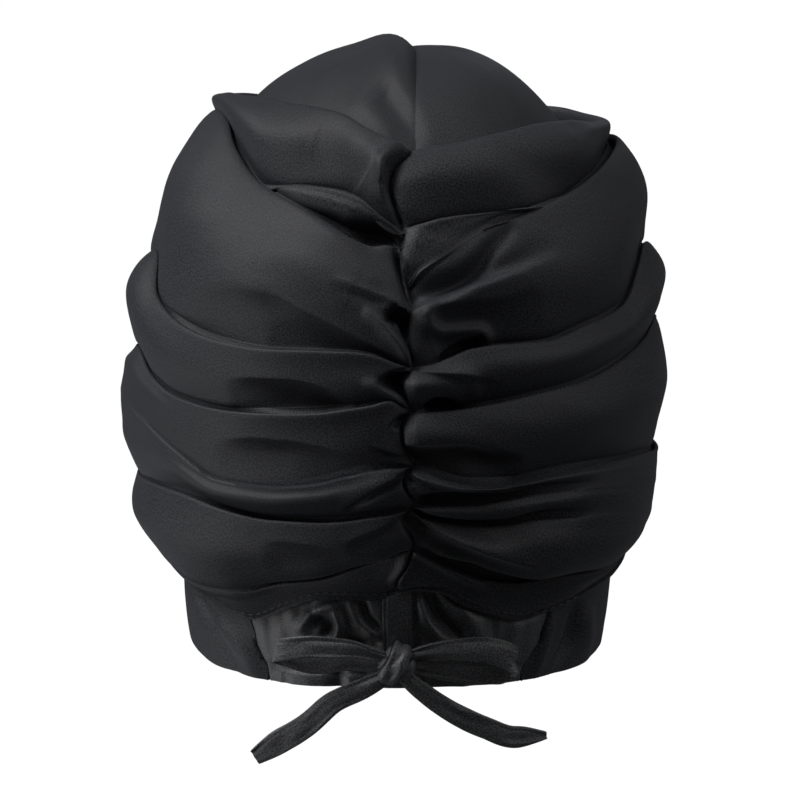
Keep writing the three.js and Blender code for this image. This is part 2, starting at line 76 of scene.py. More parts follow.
# A fold's rim and the cloth below it: the rim's height, how far its lip stands out, how far the
# belly below it swells, how far behind the lip the cloth above passes, how far above the rim that
# cloth turns in, and how much of its swell that cloth keeps until it turns (1 overhangs).
NONE = (0,) * len(SHAPE_STATIONS)
Fold = namedtuple("Fold", "name height lip belly tuck gap hang", defaults=(NONE,) * 4)
LEFT_FOLDS = (
    Fold(
        "top_roll", (184, 186, 188, 191, 195, 197, 198, 199, 198.5, 198, 196, 194, 189, 186),
        (0, 1, 1, 1, 1, 1, 1, 1), (1, 3, 4, 4, 4, 4, 4, 3),
    ),
    Fold(
        "leaf", (154.5, 157.5, 162, 166, 168.5, 169.5, 167.5, 176, 183, 185.5, 184, 177, 169, 165),
        (0, 0.8, 1.3, 1.3, 0.6, -4.5, -4.5, -4), (0, 0.7, 1, 1, 0.5, -4.5, -4.5, -4),
        (1, 3, 4, 4, 4, 0.5, 0.5, 0.5), (1, 1.5, 2, 2, 2, 4, 4, 4),
    ),
    Fold(
        "shoulder", (149, 150, 149.5, 151.5, 157, 163.5, 170, 180, 189, 192, 190.5, 183, 174, 169),
        (-1, -0.5, 0, 0.5, 0.5, 0.5, 0, 0), (0, 2, 3, 4, 5, 5, 5, 4), (3, 8, 10, 7, 2, 4, 4, 3),
        (1, 4, 7, 4, 1, 0.5, 0.5, 0.5), (0.2, 0.5, 0.55, 0.5, 0.2, 0, 0, 0),
    ),
    Fold(
        "high_cowl", (105.5, 107.5, 110, 111, 111, 110.5, 112, 116, 124, 138.5, 134, 128, 126, 126),
        (0, 1.5, 3, 4, 4, 3, -0.5, 0), (1, 1.5, 1.5, 1.5, 1.8, 2.6, 6, 4), (1, 3, 4, 4, 4, 3.5, 1, 1),
        (0.9, 1, 1, 1, 1, 0.9, 1, 1),
    ),
    Fold(
        "low_cowl", (90, 93.5, 92, 90.5, 88.5, 87.5, 87, 88.5, 94, 101, 99, 96, 95, 98),
        (0, 1.5, 3, 4, 4, 3, -0.5, 0), (1, 1.5, 1.5, 1.5, 1.8, 2.6, 4, 4), (1, 3, 5, 6, 6, 4.5, 1, 1),
        (0.9, 1, 1.1, 1.1, 1, 0.9, 1, 1),
    ),
    Fold(
        "soft_ridge", (68, 68, 67, 64.5, 61, 59, 60, 69, 77, 80, 80, 78, 74, 70),
        (0, 0.5, 0.5, 0.5, 0.5, 1.5, 5.8, 4), (1, 2, 2.5, 2.5, 2.5, 3.5, 4.5, 4),
        (1, 2, 1, 0.2, 0, 0, 0, 0), (1, 2, 3, 3.5, 3.5, 3.5, 3.5, 3),
    ),
    Fold(
        "long_crease", (51.5, 50.5, 49.5, 48, 47, 47, 49, 51.5, 52, 51, 50, 50, 54, 58),
        (0, 1, 1.5, 2.2, 2.4, 2, -0.5, 0), (1, 1.5, 2, 2.2, 2.6, 3.4, 2, 3), (1, 3.5, 4, 4, 4, 3.5, 1, 1),
        (1, 1.3, 1.3, 1.3, 1.3, 1.3, 1, 1),
    ),
    Fold(
        "low_tuck", (34, 31, 28, 25, 21, 18.5, 15, 14.5, 15, 17, 22, 32, 42, 46),
        (-2, -4.5, -5, -5, -3.5, 1, -4, -2), (-2, -4, -4.5, -4.5, -3, 0.5, -5, -3),
        (0.5, 1.5, 2.5, 3, 2.5, 0.2, 0, 0.5), (0.5, 1, 1.5, 2, 1.5, 2, 2, 1),
        (0, 0.6, 0.9, 1, 0.8, 0.2, 0, 0),
    ),
    Fold(
        "lower_edge", (15, 14, 13.5, 14, 13.8, 9.2, 3.6, 10, 10, 12, 17, 28, 38, 42),
        (-4, -4, -4, -4, -3, -0.7, -6, -5),
    ),
)
RIGHT_FOLDS = (
    Fold(
        "top_roll", (184, 184, 184.5, 185, 186.5, 188.5, 190.5, 191, 190, 188.5, 188, 188, 187, 186),
        (0, 1, 1, 1, 1, 0, -1, 1), (1, 3, 4, 4, 4, 3, 1.5, 3),
    ),
    Fold(
        "shoulder", (156, 157, 158.5, 159.5, 160, 160.5, 162, 168, 173, 176, 177, 174, 168, 165),
        (0, 1, 1.5, 1.5, 1, -4.5, -4.5, -4), (0, 1, 1.2, 1.2, 1, -4.5, -4.5, -4),
        (1, 3, 4, 4, 4, 0.5, 0.5, 0.5), (1, 1, 1.5, 1.5, 2, 4, 4, 4),
    ),
    Fold(
        "branch", (135, 140, 144, 150, 155.5, 160, 165, 171, 176, 179, 180, 177, 171, 168),
        (-1, 0.5, 1, 1, 1, 1, 1, 0), (0, 2, 3, 4, 4, 4.5, 5, 4), (0.8, 0.6, 0.1, 0.6, 3, 4, 5, 3),
        (1, 2.5, 3, 2.5, 1.2, 0.5, 0.5, 0.5),
    ),
    Fold(
        "high_cowl", (105.5, 106.5, 109, 112, 113, 113, 117, 121, 134, 141, 138, 131, 127, 126),
        (0, 0.5, 0.5, 0.5, 0.5, 0, 0, 0), (1, 2.5, 3, 3, 3, 4, 4.5, 4), (1, 3, 8, 9, 5, 4, 2.5, 1),
        (1, 1, 1, 1, 1, 1, 1, 1),
    ),
    Fold(
        "low_cowl", (88.5, 89, 89.5, 90.5, 92, 94.5, 97, 101.5, 106.5, 111.5, 110, 106, 102, 98),
        (0, 0.5, 0.5, 0.5, 0.5, 0, -0.5, 0), (1, 3, 3.5, 3.5, 3.5, 4, 3.5, 4), (1, 4, 8, 6, 4, 3.5, 1, 1),
        (1, 1, 1, 1, 1, 1, 1, 1),
    ),
    Fold(
        "double_roll", (68, 66, 63.5, 61.5, 61, 63, 64, 63.5, 62.5, 60.5, 60, 62, 66, 70),
        (0, 0.5, 1, 1.5, 1, 0.5, 0, 0), (1, 2, 3, 4, 3.5, 3, -0.5, 2), (1, 3, 4, 4, 4, 4, 3, 2),
        (1, 1.5, 2, 2, 2, 1.5, 1, 1),
    ),
    Fold(
        "long_crease", (53, 53.3, 53.4, 53.2, 54.5, 56, 56, 54, 51, 50, 50, 50, 52, 58),
        (-1, -1, -0.5, 0.3, 1, 3.3, -1, 2), (0, 0.5, 1, 1.5, 3, 3.6, -1.5, 2), (1, 6, 8, 8, 3, 0.2, 0, 0),
        (1, 4, 5, 5, 3.5, 2.5, 2.5, 2.5), (0, 0.8, 1, 1, 0.5, 0, 0, 0),
    ),
    Fold(
        "second_roll", (51, 48.5, 46.2, 44, 43, 45, 45, 42, 38, 36, 38, 40, 44, 50),
        (-1, -2.5, -3.5, -3.5, -1, 3.7, -2, 1), (0, 0.5, 1.5, 3, 4, 4, -3, 0),
        (1, 3, 4, 4.5, 3, 0.2, 0, 0), (1, 1, 2, 3, 3.5, 2.5, 2.5, 2.5), (0, 0.3, 0.8, 0.8, 0.4, 0, 0, 0),
    ),
    Fold(
        "low_tuck", (34, 31, 27.5, 23.5, 19, 16.5, 18, 17, 17, 17.5, 21, 30, 40, 46),
        (-2, -4, -5, -6, -6, -4.5, -6, -3), (-2, -4, -4.5, -5, -5, -3.5, -6, -3),
        (0.5, 1.5, 3, 4.5, 5, 3.5, 0, 1), (1, 1.5, 3, 5, 4, 2.5, 2, 1), (0, 0.6, 1, 1, 1, 0.8, 0, 0),
    ),
    Fold(
        "lower_edge", (15, 17.5, 17, 12, 7.5, 3.6, 8, 13.5, 14, 15, 18, 28, 38, 42),
        (-4, -4, -4, -3.6, -2.4, -0.7, -6, -5),
    ),
)

# The gathered seam zigzags: its place to the right of the middle at each height.
SEAM_LINE = (
    (184, 5.2), (176, -1), (170, -3), (163, 0), (156, 3.3), (145, 1.5), (133, 3.7), (126, 5.2),
    (118, 4.8), (106, 6.3), (100, 2.2), (91, 5.2), (83, 1.9), (73, 3.7), (68, 6.3), (63, 2.6),
    (53, 7), (48, 2.2), (37, 6.7), (28, 4), (20, 0),
)
SEAM_AZIMUTH = 3.2

# Soft ridges and valleys in the cloth below a fold's rim: the width of the stroke, how far it raises
# the cloth, and its points as (azimuth, height).
Stroke = namedtuple("Stroke", "name fold width raise_by points")
# Creases, where the cloth falls away on one side of a crest: how far the crest stands up, how wide
# the slope up to it is, how far the cloth falls to the right of the way the points run, over what
# distance, how soon it comes back, and the points as (azimuth, height, strength).
Crease = namedtuple("Crease", "name fold crest width fall edge reach points")
ANYWHERE = ""
LEFT_STROKES = (
    Stroke("top_curl", "top_roll", 3.5, 3.5, ((-1, 181), (-4, 176), (-4, 170))),
    Stroke("top_curl_hollow", "top_roll", 3, -6, ((1, 179), (-1, 172), (1, 163), (2, 158))),
    Stroke("top_dent", "top_roll", 7, -2, ((-24, 186), (-14, 180), (-9, 172))),
    Stroke("leaf_flow", "leaf", 4, 0.5, ((-28, 166), (-14, 160), (-6, 157))),
    Stroke("seam_shadow", "shoulder", 1.8, -4.5, ((0, 147.1), (0.8, 141.4), (1.9, 134.3), (2.9, 126.1))),
    Stroke("upper_ridge", "shoulder", 2.2, 2.4, (
        (-5.8, 124.3), (-3.7, 121.5), (-1.4, 117.6), (0.6, 113.2), (2.2, 108.5), (2.8, 106.3),
    )),
    Stroke("middle_ridge", "high_cowl", 2, 2, (
        (-5.7, 99.7), (-3.6, 98.3), (-1.4, 95.8), (0.6, 92.9), (2.4, 89.6),
    )),
    Stroke("shoulder_swell", "shoulder", 8, 1.5, ((-30, 146), (-18, 138), (-9, 131))),
    Stroke("long_ridge", "soft_ridge", 8, 2, (
        (-6, 67), (-15, 62), (-26, 59), (-36, 59), (-44, 62), (-54, 70), (-70, 79),
    )),
)
LEFT_CREASES = (
    Crease("flow", "shoulder", 0.6, 8, 2.4, 3, 10, (
        (2.7, 126.5, 0.4), (-0.4, 130, 0.8), (-6.2, 141.3, 1), (-13.3, 151, 0.8), (-24.2, 160.3, 0),
    )),
    Crease("thin_crest", "shoulder", 0.8, 1.8, 1.2, 1, 4, (
        (-13.5, 136.1, 0), (-9.2, 133.4, 1), (-4.9, 131.1, 1), (-1.1, 129, 0.6), (2.1, 126.8, 0),
    )),
    Crease("upper_lip", "shoulder", 0.8, 3, 13, 1.3, 7, (
        (-2.9, 121.5, 0), (-2.7, 123.7, 0.5), (-1.9, 126.1, 1), (-0.6, 127.2, 1), (0.8, 127.2, 1),
        (2.7, 125.4, 1), (4.1, 125.1, 0.8),
    )),
    Crease("upper_cone", "shoulder", 1.2, 4, 4.5, 1, 3.5, (
        (3.6, 104.5, 0.7), (2.4, 109.2, 1), (1.2, 113.6, 1), (-0.4, 117.6, 1), (-2.1, 120.8, 0.7),
        (-4.6, 123.6, 0),
    )),
    Crease("under_shoulder", "shoulder", 0.5, 9, 11, 7, 26, (
        (-67.1, 120.5, 0), (-49.4, 127.7, 0.4), (-37.7, 131.7, 0.6), (-28.5, 131, 0.8), (-18.7, 124.7, 1),
        (-10.9, 118.8, 1), (-3.7, 112.1, 1), (2, 107, 0.8), (4, 105.6, 0.4),
    )),
    Crease("under_high_cowl", "high_cowl", 0.4, 8, 8, 4, 16, (
        (-38.2, 98.2, 0), (-30.6, 99.8, 0.6), (-22.5, 100, 1), (-16, 98.1, 1), (-10.8, 93.7, 0.9),
        (-7.3, 91.3, 0),
    )),
    Crease("middle_lip", "high_cowl", 0.4, 3, 12, 1.1, 7, (
        (-4.5, 99.7, 0), (-3.4, 101.9, 0.6), (-1.8, 103.8, 1), (0.4, 104.9, 1), (2.8, 105.9, 1),
        (4.5, 106.3, 0.8),
    )),
    Crease("middle_cone", "high_cowl", 1, 3.5, 4, 1, 3, (
        (3.8, 87.3, 0.8), (2, 91.8, 1), (0.4, 95.1, 1), (-1.4, 97.6, 0.8), (-3, 99.4, 0.4),
        (-4.9, 100.5, 0),
    )),
    Crease("under_low_cowl", "low_cowl", 0.3, 8, 6, 5, 14, (
        (-40.8, 74.4, 0), (-30.5, 77.8, 0.7), (-23.5, 77.6, 1), (-16, 76.2, 1), (-9.7, 73.2, 0.8),
        (-2.6, 70.5, 0),
    )),
    Crease("small_lip", "low_cowl", 0.4, 2, 7, 0.8, 3.5, (
        (-1.6, 84, 0), (-0.8, 86.2, 0.8), (0.8, 88.1, 1), (2.6, 88.5, 1), (4, 88.8, 0.8),
    )),
    Crease("small_pleat", "low_cowl", 0.8, 2, 3.5, 0.8, 2.5, (
        (-5.2, 77.2, 0), (-1.6, 75, 0.8), (2.2, 73.1, 1), (4, 72.3, 0.6),
    )),
    Crease("second_pleat", "low_cowl", 0.5, 2, 2, 0.6, 2, (
        (-4.8, 70.4, 0), (-1.2, 69.3, 0.8), (3, 68.6, 1),
    )),
    Crease("ridge_pleat", "soft_ridge", 1, 4, 6, 0.9, 2.6, (
        (-11.2, 53.4, 0), (-8.1, 56.7, 0.9), (-4.6, 60.6, 1), (-1.2, 64.1, 1), (2, 67.5, 0.8),
        (3.6, 69.3, 0.4),
    )),
    Crease("lower_pleat", "long_crease", 0.8, 3.5, 5, 2.2, 4.5, (
        (-10.9, 40.2, 0), (-7, 43.1, 0.7), (-2.8, 46.4, 1), (0.4, 50.3, 1), (2.8, 53, 1),
        (4.1, 54.1, 0.6),
    )),
    Crease("lower_valley", "long_crease", 0.4, 8, 3.6, 5, 10, (
        (-29.3, 38.5, 0), (-23.9, 39.3, 0.8), (-18.4, 38.8, 1), (-13, 37.3, 1), (-8.9, 36, 0.7),
        (-2.7, 36.2, 0),
    )),
)
RIGHT_STROKES = (
    Stroke("branch_valley", "branch", 3.5, -4, (
        (25.9, 153.1), (21.4, 147), (17.7, 140.8), (13.6, 135.7), (8.8, 131.3),
    )),
    Stroke("hook_ridge", "branch", 2.6, 2.6, (
        (6.6, 123.6), (7.7, 120), (10.6, 118.1), (14.8, 118.6), (18, 118.7), (19.9, 117.1), (21, 113.7),
    )),
    Stroke("branch_line", "branch", 1.5, -0.8, ((2.7, 135), (5.5, 139.2), (8.6, 143.4), (10.8, 145.8))),
    Stroke("bubble", "high_cowl", 5, 2, ((2.8, 99.4), (6.5, 99.7), (11, 98), (14.3, 96))),
    Stroke("bubble_edge", "high_cowl", 3, 1.2, ((13.1, 103), (15.6, 99.9), (16.8, 95.1))),
    Stroke("low_crest", "low_tuck", 2.2, 3.2, (
        (2.1, 36.2), (5.6, 32.5), (10, 27.8), (14.5, 23.3), (20.2, 18.2),
    )),
    Stroke("top_dent", "top_roll", 8, -2, ((30, 176), (40, 172), (50, 172))),
    Stroke("top_corner", "top_roll", 6, -1.6, ((54, 186), (64, 184), (76, 182))),
)
RIGHT_CREASES = (
    Crease("branch_crest", "branch", 0.9, 5, 7, 2, 7, (
        (37.6, 143.3, 0), (26.9, 138.3, 0.6), (19.7, 135, 0.9), (15.2, 133.1, 1), (8.7, 129.9, 1),
        (2.9, 125.1, 0.8),
    )),
    Crease("below_branch", "branch", 0.2, 5, 6, 4, 12, (
        (4.9, 124.3, 0), (9.8, 127.7, 0.9), (16.2, 128.8, 1), (22.9, 129.4, 0.8), (31.4, 132.8, 0),
    )),
    Crease("hook", "branch", 0.5, 2.5, 15, 0.8, 6, (
        (8.5, 106.9, 0.3), (10, 110.8, 0.9), (12.7, 114, 1), (15.9, 116, 1), (18.4, 116.5, 1),
        (19.7, 114.9, 0.9), (19.9, 112.4, 0.4),
    )),
    Crease("high_line", "high_cowl", 0.3, 3, 2.4, 1.2, 5, (
        (2.6, 104.5, 0.5), (9.5, 103.2, 1), (15.8, 101.7, 0.8), (22.9, 99.3, 0),
    )),
    Crease("arch", "high_cowl", 0.8, 3, 13, 0.8, 6, (
        (5.2, 91, 0.2), (6.5, 93.1, 1), (8.3, 94.5, 1), (10.5, 94.4, 1), (12.6, 92.8, 1),
        (14.7, 90.2, 0.2),
    )),
    Crease("under_low_cowl", "low_cowl", 0.6, 7, 9, 3, 11, (
        (0, 76.9, 1), (6.5, 77.5, 0.9), (12.6, 77.9, 1), (18.9, 75.5, 0.9), (27.9, 70.6, 0),
    )),
    Crease("second_line", "double_roll", 0.8, 3, 5, 1.4, 3.2, (
        (1.4, 67.8, 0.5), (2.8, 65.9, 0.9), (8.5, 62.4, 1), (14.7, 60.5, 1), (21.1, 60.2, 0.8),
        (27.9, 61.9, 0),
    )),
    Crease("diagonal", "second_roll", 2, 4, 8, 2.3, 7, (
        (2.2, 53.4, 0.7), (4.5, 49.1, 1), (7.4, 45.1, 1), (10.7, 41.8, 1), (14.9, 38.3, 1),
        (21.7, 33.6, 0.8), (33.1, 27.2, 0),
    )),
)
CAP_STROKES = (
    Stroke("crown_dimple", ANYWHERE, 5, -2.6, ((-14, 202), (-7, 196), (0, 189))),
    Stroke("crown_swell", ANYWHERE, 6, 1.6, ((-24, 198), (-14, 192), (-7, 186))),
    Stroke("left_hollow", ANYWHERE, 5, -4.5, ((-74, 9), (-66, 3), (-58, 0))),
    Stroke("left_ridge", ANYWHERE, 4, 3, ((-62, 10), (-54, -2), (-46, -9), (-42, -17))),
    Stroke("left_valley", ANYWHERE, 4.5, -3, ((-60, -6), (-52, -18))),
    Stroke("right_ridge", ANYWHERE, 3, 2.2, ((45, 6), (43, -6), (41, -18))),
    Stroke("right_valley", ANYWHERE, 4, -4, ((55, 3), (54, -6), (49, -16))),
    Stroke("right_swell", ANYWHERE, 6, 2, ((60, 2), (65, -14))),
)
NAPE_STROKES = (
    Stroke("left_hole", ANYWHERE, 2.6, -4, ((-21, 7), (-18, 3), (-19, 0))),
    Stroke("left_loop", ANYWHERE, 2.2, 2.4, ((-26, 2), (-21, 9), (-13, 15))),
    Stroke("left_lip", ANYWHERE, 2.2, 2.4, ((-16, 10), (-15, 4), (-17, -2))),
    Stroke("left_drape", ANYWHERE, 2.4, 2.2, ((-12, 15), (-10, 6), (-6, 1))),
    Stroke("left_drape_valley", ANYWHERE, 1.8, -2.4, ((-9, 14), (-8, 8), (-4, 3))),
    Stroke("left_low_valley", ANYWHERE, 2, -2.2, ((-14, 0), (-8, -3), (-3, -3))),
    Stroke("right_crease", ANYWHERE, 2.6, -4.5, ((8, 18), (10, 10), (16, 0))),
    Stroke("right_drape", ANYWHERE, 2.4, 2, ((6, 14), (8, 6), (12, -2))),
    Stroke("right_swell", ANYWHERE, 4, 1.8, ((14, 14), (20, 4), (24, -8))),
    Stroke("right_valley", ANYWHERE, 3, -1.6, ((30, 8), (28, -12))),
)

# Cap panels. Reach from the vertical axis at the widest level, the share lost down to the hem,
# and how late that sets in.
HEM_DROP = 20
CAP_TOP = 218
CAP_WIDEST = 100
DOME_FULLNESS = 2.25
CAP_REACH = {"side": (85, 0.06, 5), "back": (98, 0.12, 2), "front": (97, 0.08, 2)}
HEM_STATIONS = (0, 30, 60, 90, 120, 150, 180)
HEM_RISE = (-1, -1.02, -1, -0.65, 0.1, 0.75, 1)
SEAM_SHIFT = 7  # how far the crown moves to the right beside its seam
SEAM_SHIFT_REACH = 32
SEAM_SHIFT_RISE = (15, 60)  # heights over which the shift sets in
SEAM_SHIFT_END = (-20, 60)  # and places from back to front over which it ends
NAPE_HALF_ANGLE = 41
LEAN_OUT, LEAN_IN_LEFT, LEAN_IN_RIGHT = 2, 3.5, 5  # degrees by which the nape's side seams lean

# Radii at which degrees round the wrap and the cap are turned into distances along the cloth.
WRAP_RADIUS = 108
CAP_RADIUS = 84

# The bow: stations along each ribbon as (x, y, z, share of the tie's width), y from its plane.
BOW_PLANE = -97.4
BOW_BEND = 0.003  # how fast it bends round the nape away from the knot, per mm
TIE_WALL = 1.5
TAPE_ROWS, TAPE_SIDES = 120, 40
TAPE_SEAM_DEPTH = 0.28
KNOT_CENTRE = (0.2, BOW_PLANE, -8.8)
KNOT_SIZE = (16, 11, 15)
Ribbon = namedtuple("Ribbon", "name stations")
LOOPS = (
    Ribbon("bow_loop_left", (
        (-1, -0.4, -6.8, 0.35), (-8, -1.6, -4.8, 0.55), (-19, -3.2, -2.4, 0.85), (-31, -3.6, -2, 1),
        (-43, -2.4, -3.8, 1), (-46, 0, -5, 0.95), (-43, 2.4, -6.6, 0.95), (-31, 2.8, -9.4, 0.95),
        (-19, 2.2, -8.4, 0.85), (-8, 2, -8.8, 0.75), (-1, 1.6, -9.4, 0.4),
    )),
    Ribbon("bow_loop_right", (
        (2, -0.4, -6.4, 0.35), (11, -1.8, -3.2, 0.6), (20, -3.2, -2.4, 0.85), (31, -3.6, -2.8, 1.1),
        (41, -2.4, -6, 1.2), (44, 0, -8.6, 1.2), (41, 2.4, -11.2, 1.2), (31, 2.8, -12.6, 1.1),
        (20, 2.2, -11.6, 1), (10, 2, -10.2, 0.75), (2, 1.6, -9.6, 0.4),
    )),
)
TAILS = (
    Ribbon("tie_tail_left", (
        (-1, 0.4, -10.4, 0.6), (-6, 0.2, -14.4, 0.75), (-12, 0, -17.6, 0.9), (-24, -0.6, -23.4, 1),
        (-34, 0.2, -32.6, 1.05), (-44, 0.8, -39.2, 1.1), (-53.4, 0.6, -46, 0.7),
    )),
    Ribbon("tie_tail_right", (
        (1, 0.4, -10.4, 0.6), (5, 0.2, -15.2, 0.75), (10, 0, -19.4, 0.85), (20, -0.6, -26.6, 0.95),
        (33, 0.2, -33.6, 1), (45, 0.8, -37.8, 1), (56, 0.6, -37.6, 0.35),
    )),
)


def smooth(at, value, x):
    """Interpolate smoothly through (at, value) pairs without overshooting them."""
    at, value = np.asarray(at, float), np.asarray(value, float)
    x = np.clip(x, at[0], at[-1])
    span = np.diff(at)
    rise = np.diff(value) / span
    slope = np.zeros_like(value)
    before, after = rise[:-1], rise[1:]
    same_way = before * after > 0
    slope[1:-1][same_way] = (2 * before * after)[same_way] / (before + after)[same_way]
    i = np.clip(np.searchsorted(at, x, side="right") - 1, 0, len(span) - 1)
    t = (x - at[i]) / span[i]
    return (
        (2 * t**3 - 3 * t**2 + 1) * value[i]
        + (t**3 - 2 * t**2 + t) * span[i] * slope[i]
        + (3 * t**2 - 2 * t**3) * value[i + 1]
        + (t**3 - t**2) * span[i] * slope[i + 1]
    )


def mix(a, b, share):
    return a + (b - a) * share


def ramp(x, start, end):
    """Rise smoothly from 0 at start to 1 at end."""
    t = np.clip((x - start) / (end - start), 0, 1)
    return t * t * (3 - 2 * t)


def bump(x, width):
    return np.exp(-((x / width) ** 2))


def noise(u, v, seed):
    """Smooth noise from -1 to 1 with cells of one unit."""
    rng = np.random.default_rng(seed)
    size = 64
    lattice = rng.uniform(-1, 1, (size, size))
    iu, iv = np.floor(u).astype(int), np.floor(v).astype(int)
    fu, fv = u - iu, v - iv
    fu, fv = fu * fu * (3 - 2 * fu), fv * fv * (3 - 2 * fv)
    a = mix(lattice[iu % size, iv % size], lattice[(iu + 1) % size, iv % size], fu)
    b = mix(lattice[iu % size, (iv + 1) % size], lattice[(iu + 1) % size, (iv + 1) % size], fu)
    return mix(a, b, fv)


def full_turn(count):
    return np.linspace(0, 2 * np.pi, count, endpoint=False)


def unit(v):
    return v / np.maximum(np.linalg.norm(v, axis=-1, keepdims=True), 1e-9)


def on_oval(azimuth, side, back, front, z):
    a = np.radians(azimuth)
    depth = np.where(np.cos(a) > 0, back, front)
    return np.stack([side * np.sin(a), -depth * np.cos(a), z * np.ones_like(side)], -1)


def wrap_reach(way, z):
    """The wrap's mean reach at a height towards its left, right, back or front."""
    return smooth([s.z for s in WRAP_SECTIONS], [getattr(s, way) for s in WRAP_SECTIONS], z)


def wrap_form(azimuth, z):
    """Points of the wrap's mean surface."""
    side = np.where(np.asarray(azimuth) < 0, wrap_reach("left", z), wrap_reach("right", z))
    return on_oval(azimuth, side, wrap_reach("back", z), wrap_reach("front", z), z)


def wrap_normal(azimuth, z):
    across = wrap_form(azimuth + 0.5, z) - wrap_form(azimuth - 0.5, z)
    up = wrap_form(azimuth, z + 1) - wrap_form(azimuth, z - 1)
    return unit(np.cross(across, up))


def cap_reach(way, z):
    """The cap's reach at a height towards its side, back or front."""
    widest, taper, onset = CAP_REACH[way]
    below = np.clip((CAP_WIDEST - z) / (CAP_WIDEST + HEM_DROP), 0, 1.2)
    above = np.clip((z - CAP_WIDEST) / (CAP_TOP - CAP_WIDEST), 0, 1)
    skirt = widest * (1 - taper * below**onset)
    dome = widest * np.maximum(1 - above**DOME_FULLNESS, 0) ** (1 / DOME_FULLNESS)
    return np.where(z <= CAP_WIDEST, skirt, dome)


def cap_point(azimuth, z, out):
    """Points of the cap's outside, moved outwards."""
    point = on_oval(azimuth, cap_reach("side", z), cap_reach("back", z), cap_reach("front", z), z)
    centre = np.zeros_like(point)
    centre[..., 2] = np.minimum(z, CAP_WIDEST)
    return point + unit(point - centre) * np.asarray(out)[..., None]


def hem_height(azimuth):
    return HEM_DROP * smooth(HEM_STATIONS, HEM_RISE, np.abs(azimuth))


def seam_lean(azimuth, z):
    """Degrees by which the nape panel's side seams lean out at the top and in at the hem."""
    inwards = np.where(azimuth < 0, LEAN_IN_LEFT, LEAN_IN_RIGHT) * ramp(-z, 4, 17)
    outwards = LEAN_OUT * ramp(z, -4, 6) * (1 - ramp(z, 12, 30))
    return np.sign(azimuth) * (outwards - inwards)


def edge_height(azimuth):
    """Height of the wrap's lower edge."""
    round_left = (SEAM_AZIMUTH - azimuth) / (1 + SEAM_AZIMUTH / 180)
    round_right = (azimuth - SEAM_AZIMUTH) / (1 - SEAM_AZIMUTH / 180)
    return np.where(
        azimuth < SEAM_AZIMUTH,
        smooth(STATIONS, LEFT_FOLDS[-1].height, round_left),
        smooth(STATIONS, RIGHT_FOLDS[-1].height, round_right),
    )


def with_seam_shift(grid):
    """Move the crown to the right with its wandering seam."""
    x, y, z = grid[..., 0], grid[..., 1], grid[..., 2]
    moved = grid.copy()
    risen, ended = ramp(z, *SEAM_SHIFT_RISE), ramp(y, *SEAM_SHIFT_END)
    moved[..., 0] += SEAM_SHIFT * bump(x, SEAM_SHIFT_REACH) * risen * (1 - ended)
    return moved


def nearest_on(line_a, line_z, azimuth, z, radius):
    """Distance of each place from a line, 1 or -1 for its right or left side, and how far along."""
    scale = math.radians(1) * radius
    best = np.full(z.shape, 1e9)
    side, where = np.zeros(z.shape), np.zeros(z.shape)
    for k in range(len(line_a) - 1):
        du, dv = (line_a[k + 1] - line_a[k]) * scale, line_z[k + 1] - line_z[k]
        pu, pv = (azimuth - line_a[k]) * scale, z - line_z[k]
        along = np.clip((pu * du + pv * dv) / (du * du + dv * dv + 1e-9), 0, 1)
        away = np.hypot(pu - along * du, pv - along * dv)
        closer = away < best
        best = np.where(closer, away, best)
        side = np.where(closer, np.sign(dv * pu - du * pv), side)
        where = np.where(closer, (k + along) / (len(line_a) - 1), where)
    return best, side, where


def finer(points):
    """A smooth line through the points, with eight steps for each."""
    at = np.linspace(0, 1, len(points))
    fine = np.linspace(0, 1, 8 * len(points))
    return [smooth(at, values, fine) for values in zip(*points)]


def share_of_fold(fold, folds, number):
    """How much of each place belongs to a fold, from the places' fold numbers."""
    if fold == ANYWHERE:
        return 1
    index = [f.name for f in folds].index(fold)
    return np.clip(1.5 - 2 * np.abs(number - index), 0, 1)


def stroke_field(strokes, azimuth, z, radius, folds=(), number=0):
    """How far the strokes raise the cloth at each place."""
    raised = np.zeros_like(z)
    for stroke in strokes:
        away, _, where = nearest_on(*finer(stroke.points), azimuth, z, radius)
        ends = 0.35 + 0.65 * np.sin(np.pi * np.clip(where, 0.02, 0.98)) ** 0.5
        mine = share_of_fold(stroke.fold, folds, number)
        raised += stroke.raise_by * bump(away, stroke.width) * ends * mine
    return raised


def crease_field(creases, azimuth, z, radius, folds=(), number=0):
    """How far the creases raise the cloth at each place."""
    raised = np.zeros_like(z)
    for crease in creases:
        line_a, line_z, strength = finer(crease.points)
        away, side, where = nearest_on(line_a, line_z, azimuth, z, radius)
        strength = np.interp(where, np.linspace(0, 1, len(strength)), strength)
        slope = crease.crest * bump(away, crease.width)
        fall = crease.fall * (1 - np.exp(-away / crease.edge)) * bump(away, crease.reach)
        fall = crease.crest * bump(away, min(crease.width, 1.5 * crease.edge)) - fall
        mine = share_of_fold(crease.fold, folds, number)
        raised += np.where(side > 0, fall, slope) * strength * mine
    return raised


# ---------------------------------------------------------------- meshes


def grid_normals(grid):
    """The grid's normals, pointing away from the vertical axis."""
    normals = unit(np.cross(np.gradient(grid, axis=1), np.gradient(grid, axis=0)))
    return -normals if (normals * grid * [1, 1, 0]).sum() < 0 else normals


def runs_backwards(grid, normals):
    """Whether faces that run down the columns first would look against the normals."""
    across = np.cross(grid[0, 1] - grid[0, 0], grid[1, 0] - grid[0, 0])
    return (across * normals[0, 0]).sum() > 0


def lengths(grid, axis):
    """Distance along the grid from its first row or column, averaged across it."""
    steps = np.linalg.norm(np.diff(grid, axis=axis), axis=-1).mean(axis=1 - axis)
    return np.concatenate([[0], np.cumsum(steps)])


def cloth_places(grid):
    """Each point's place on the flat cloth."""
    return np.stack(np.meshgrid(lengths(grid, 1), lengths(grid, 0)), -1)


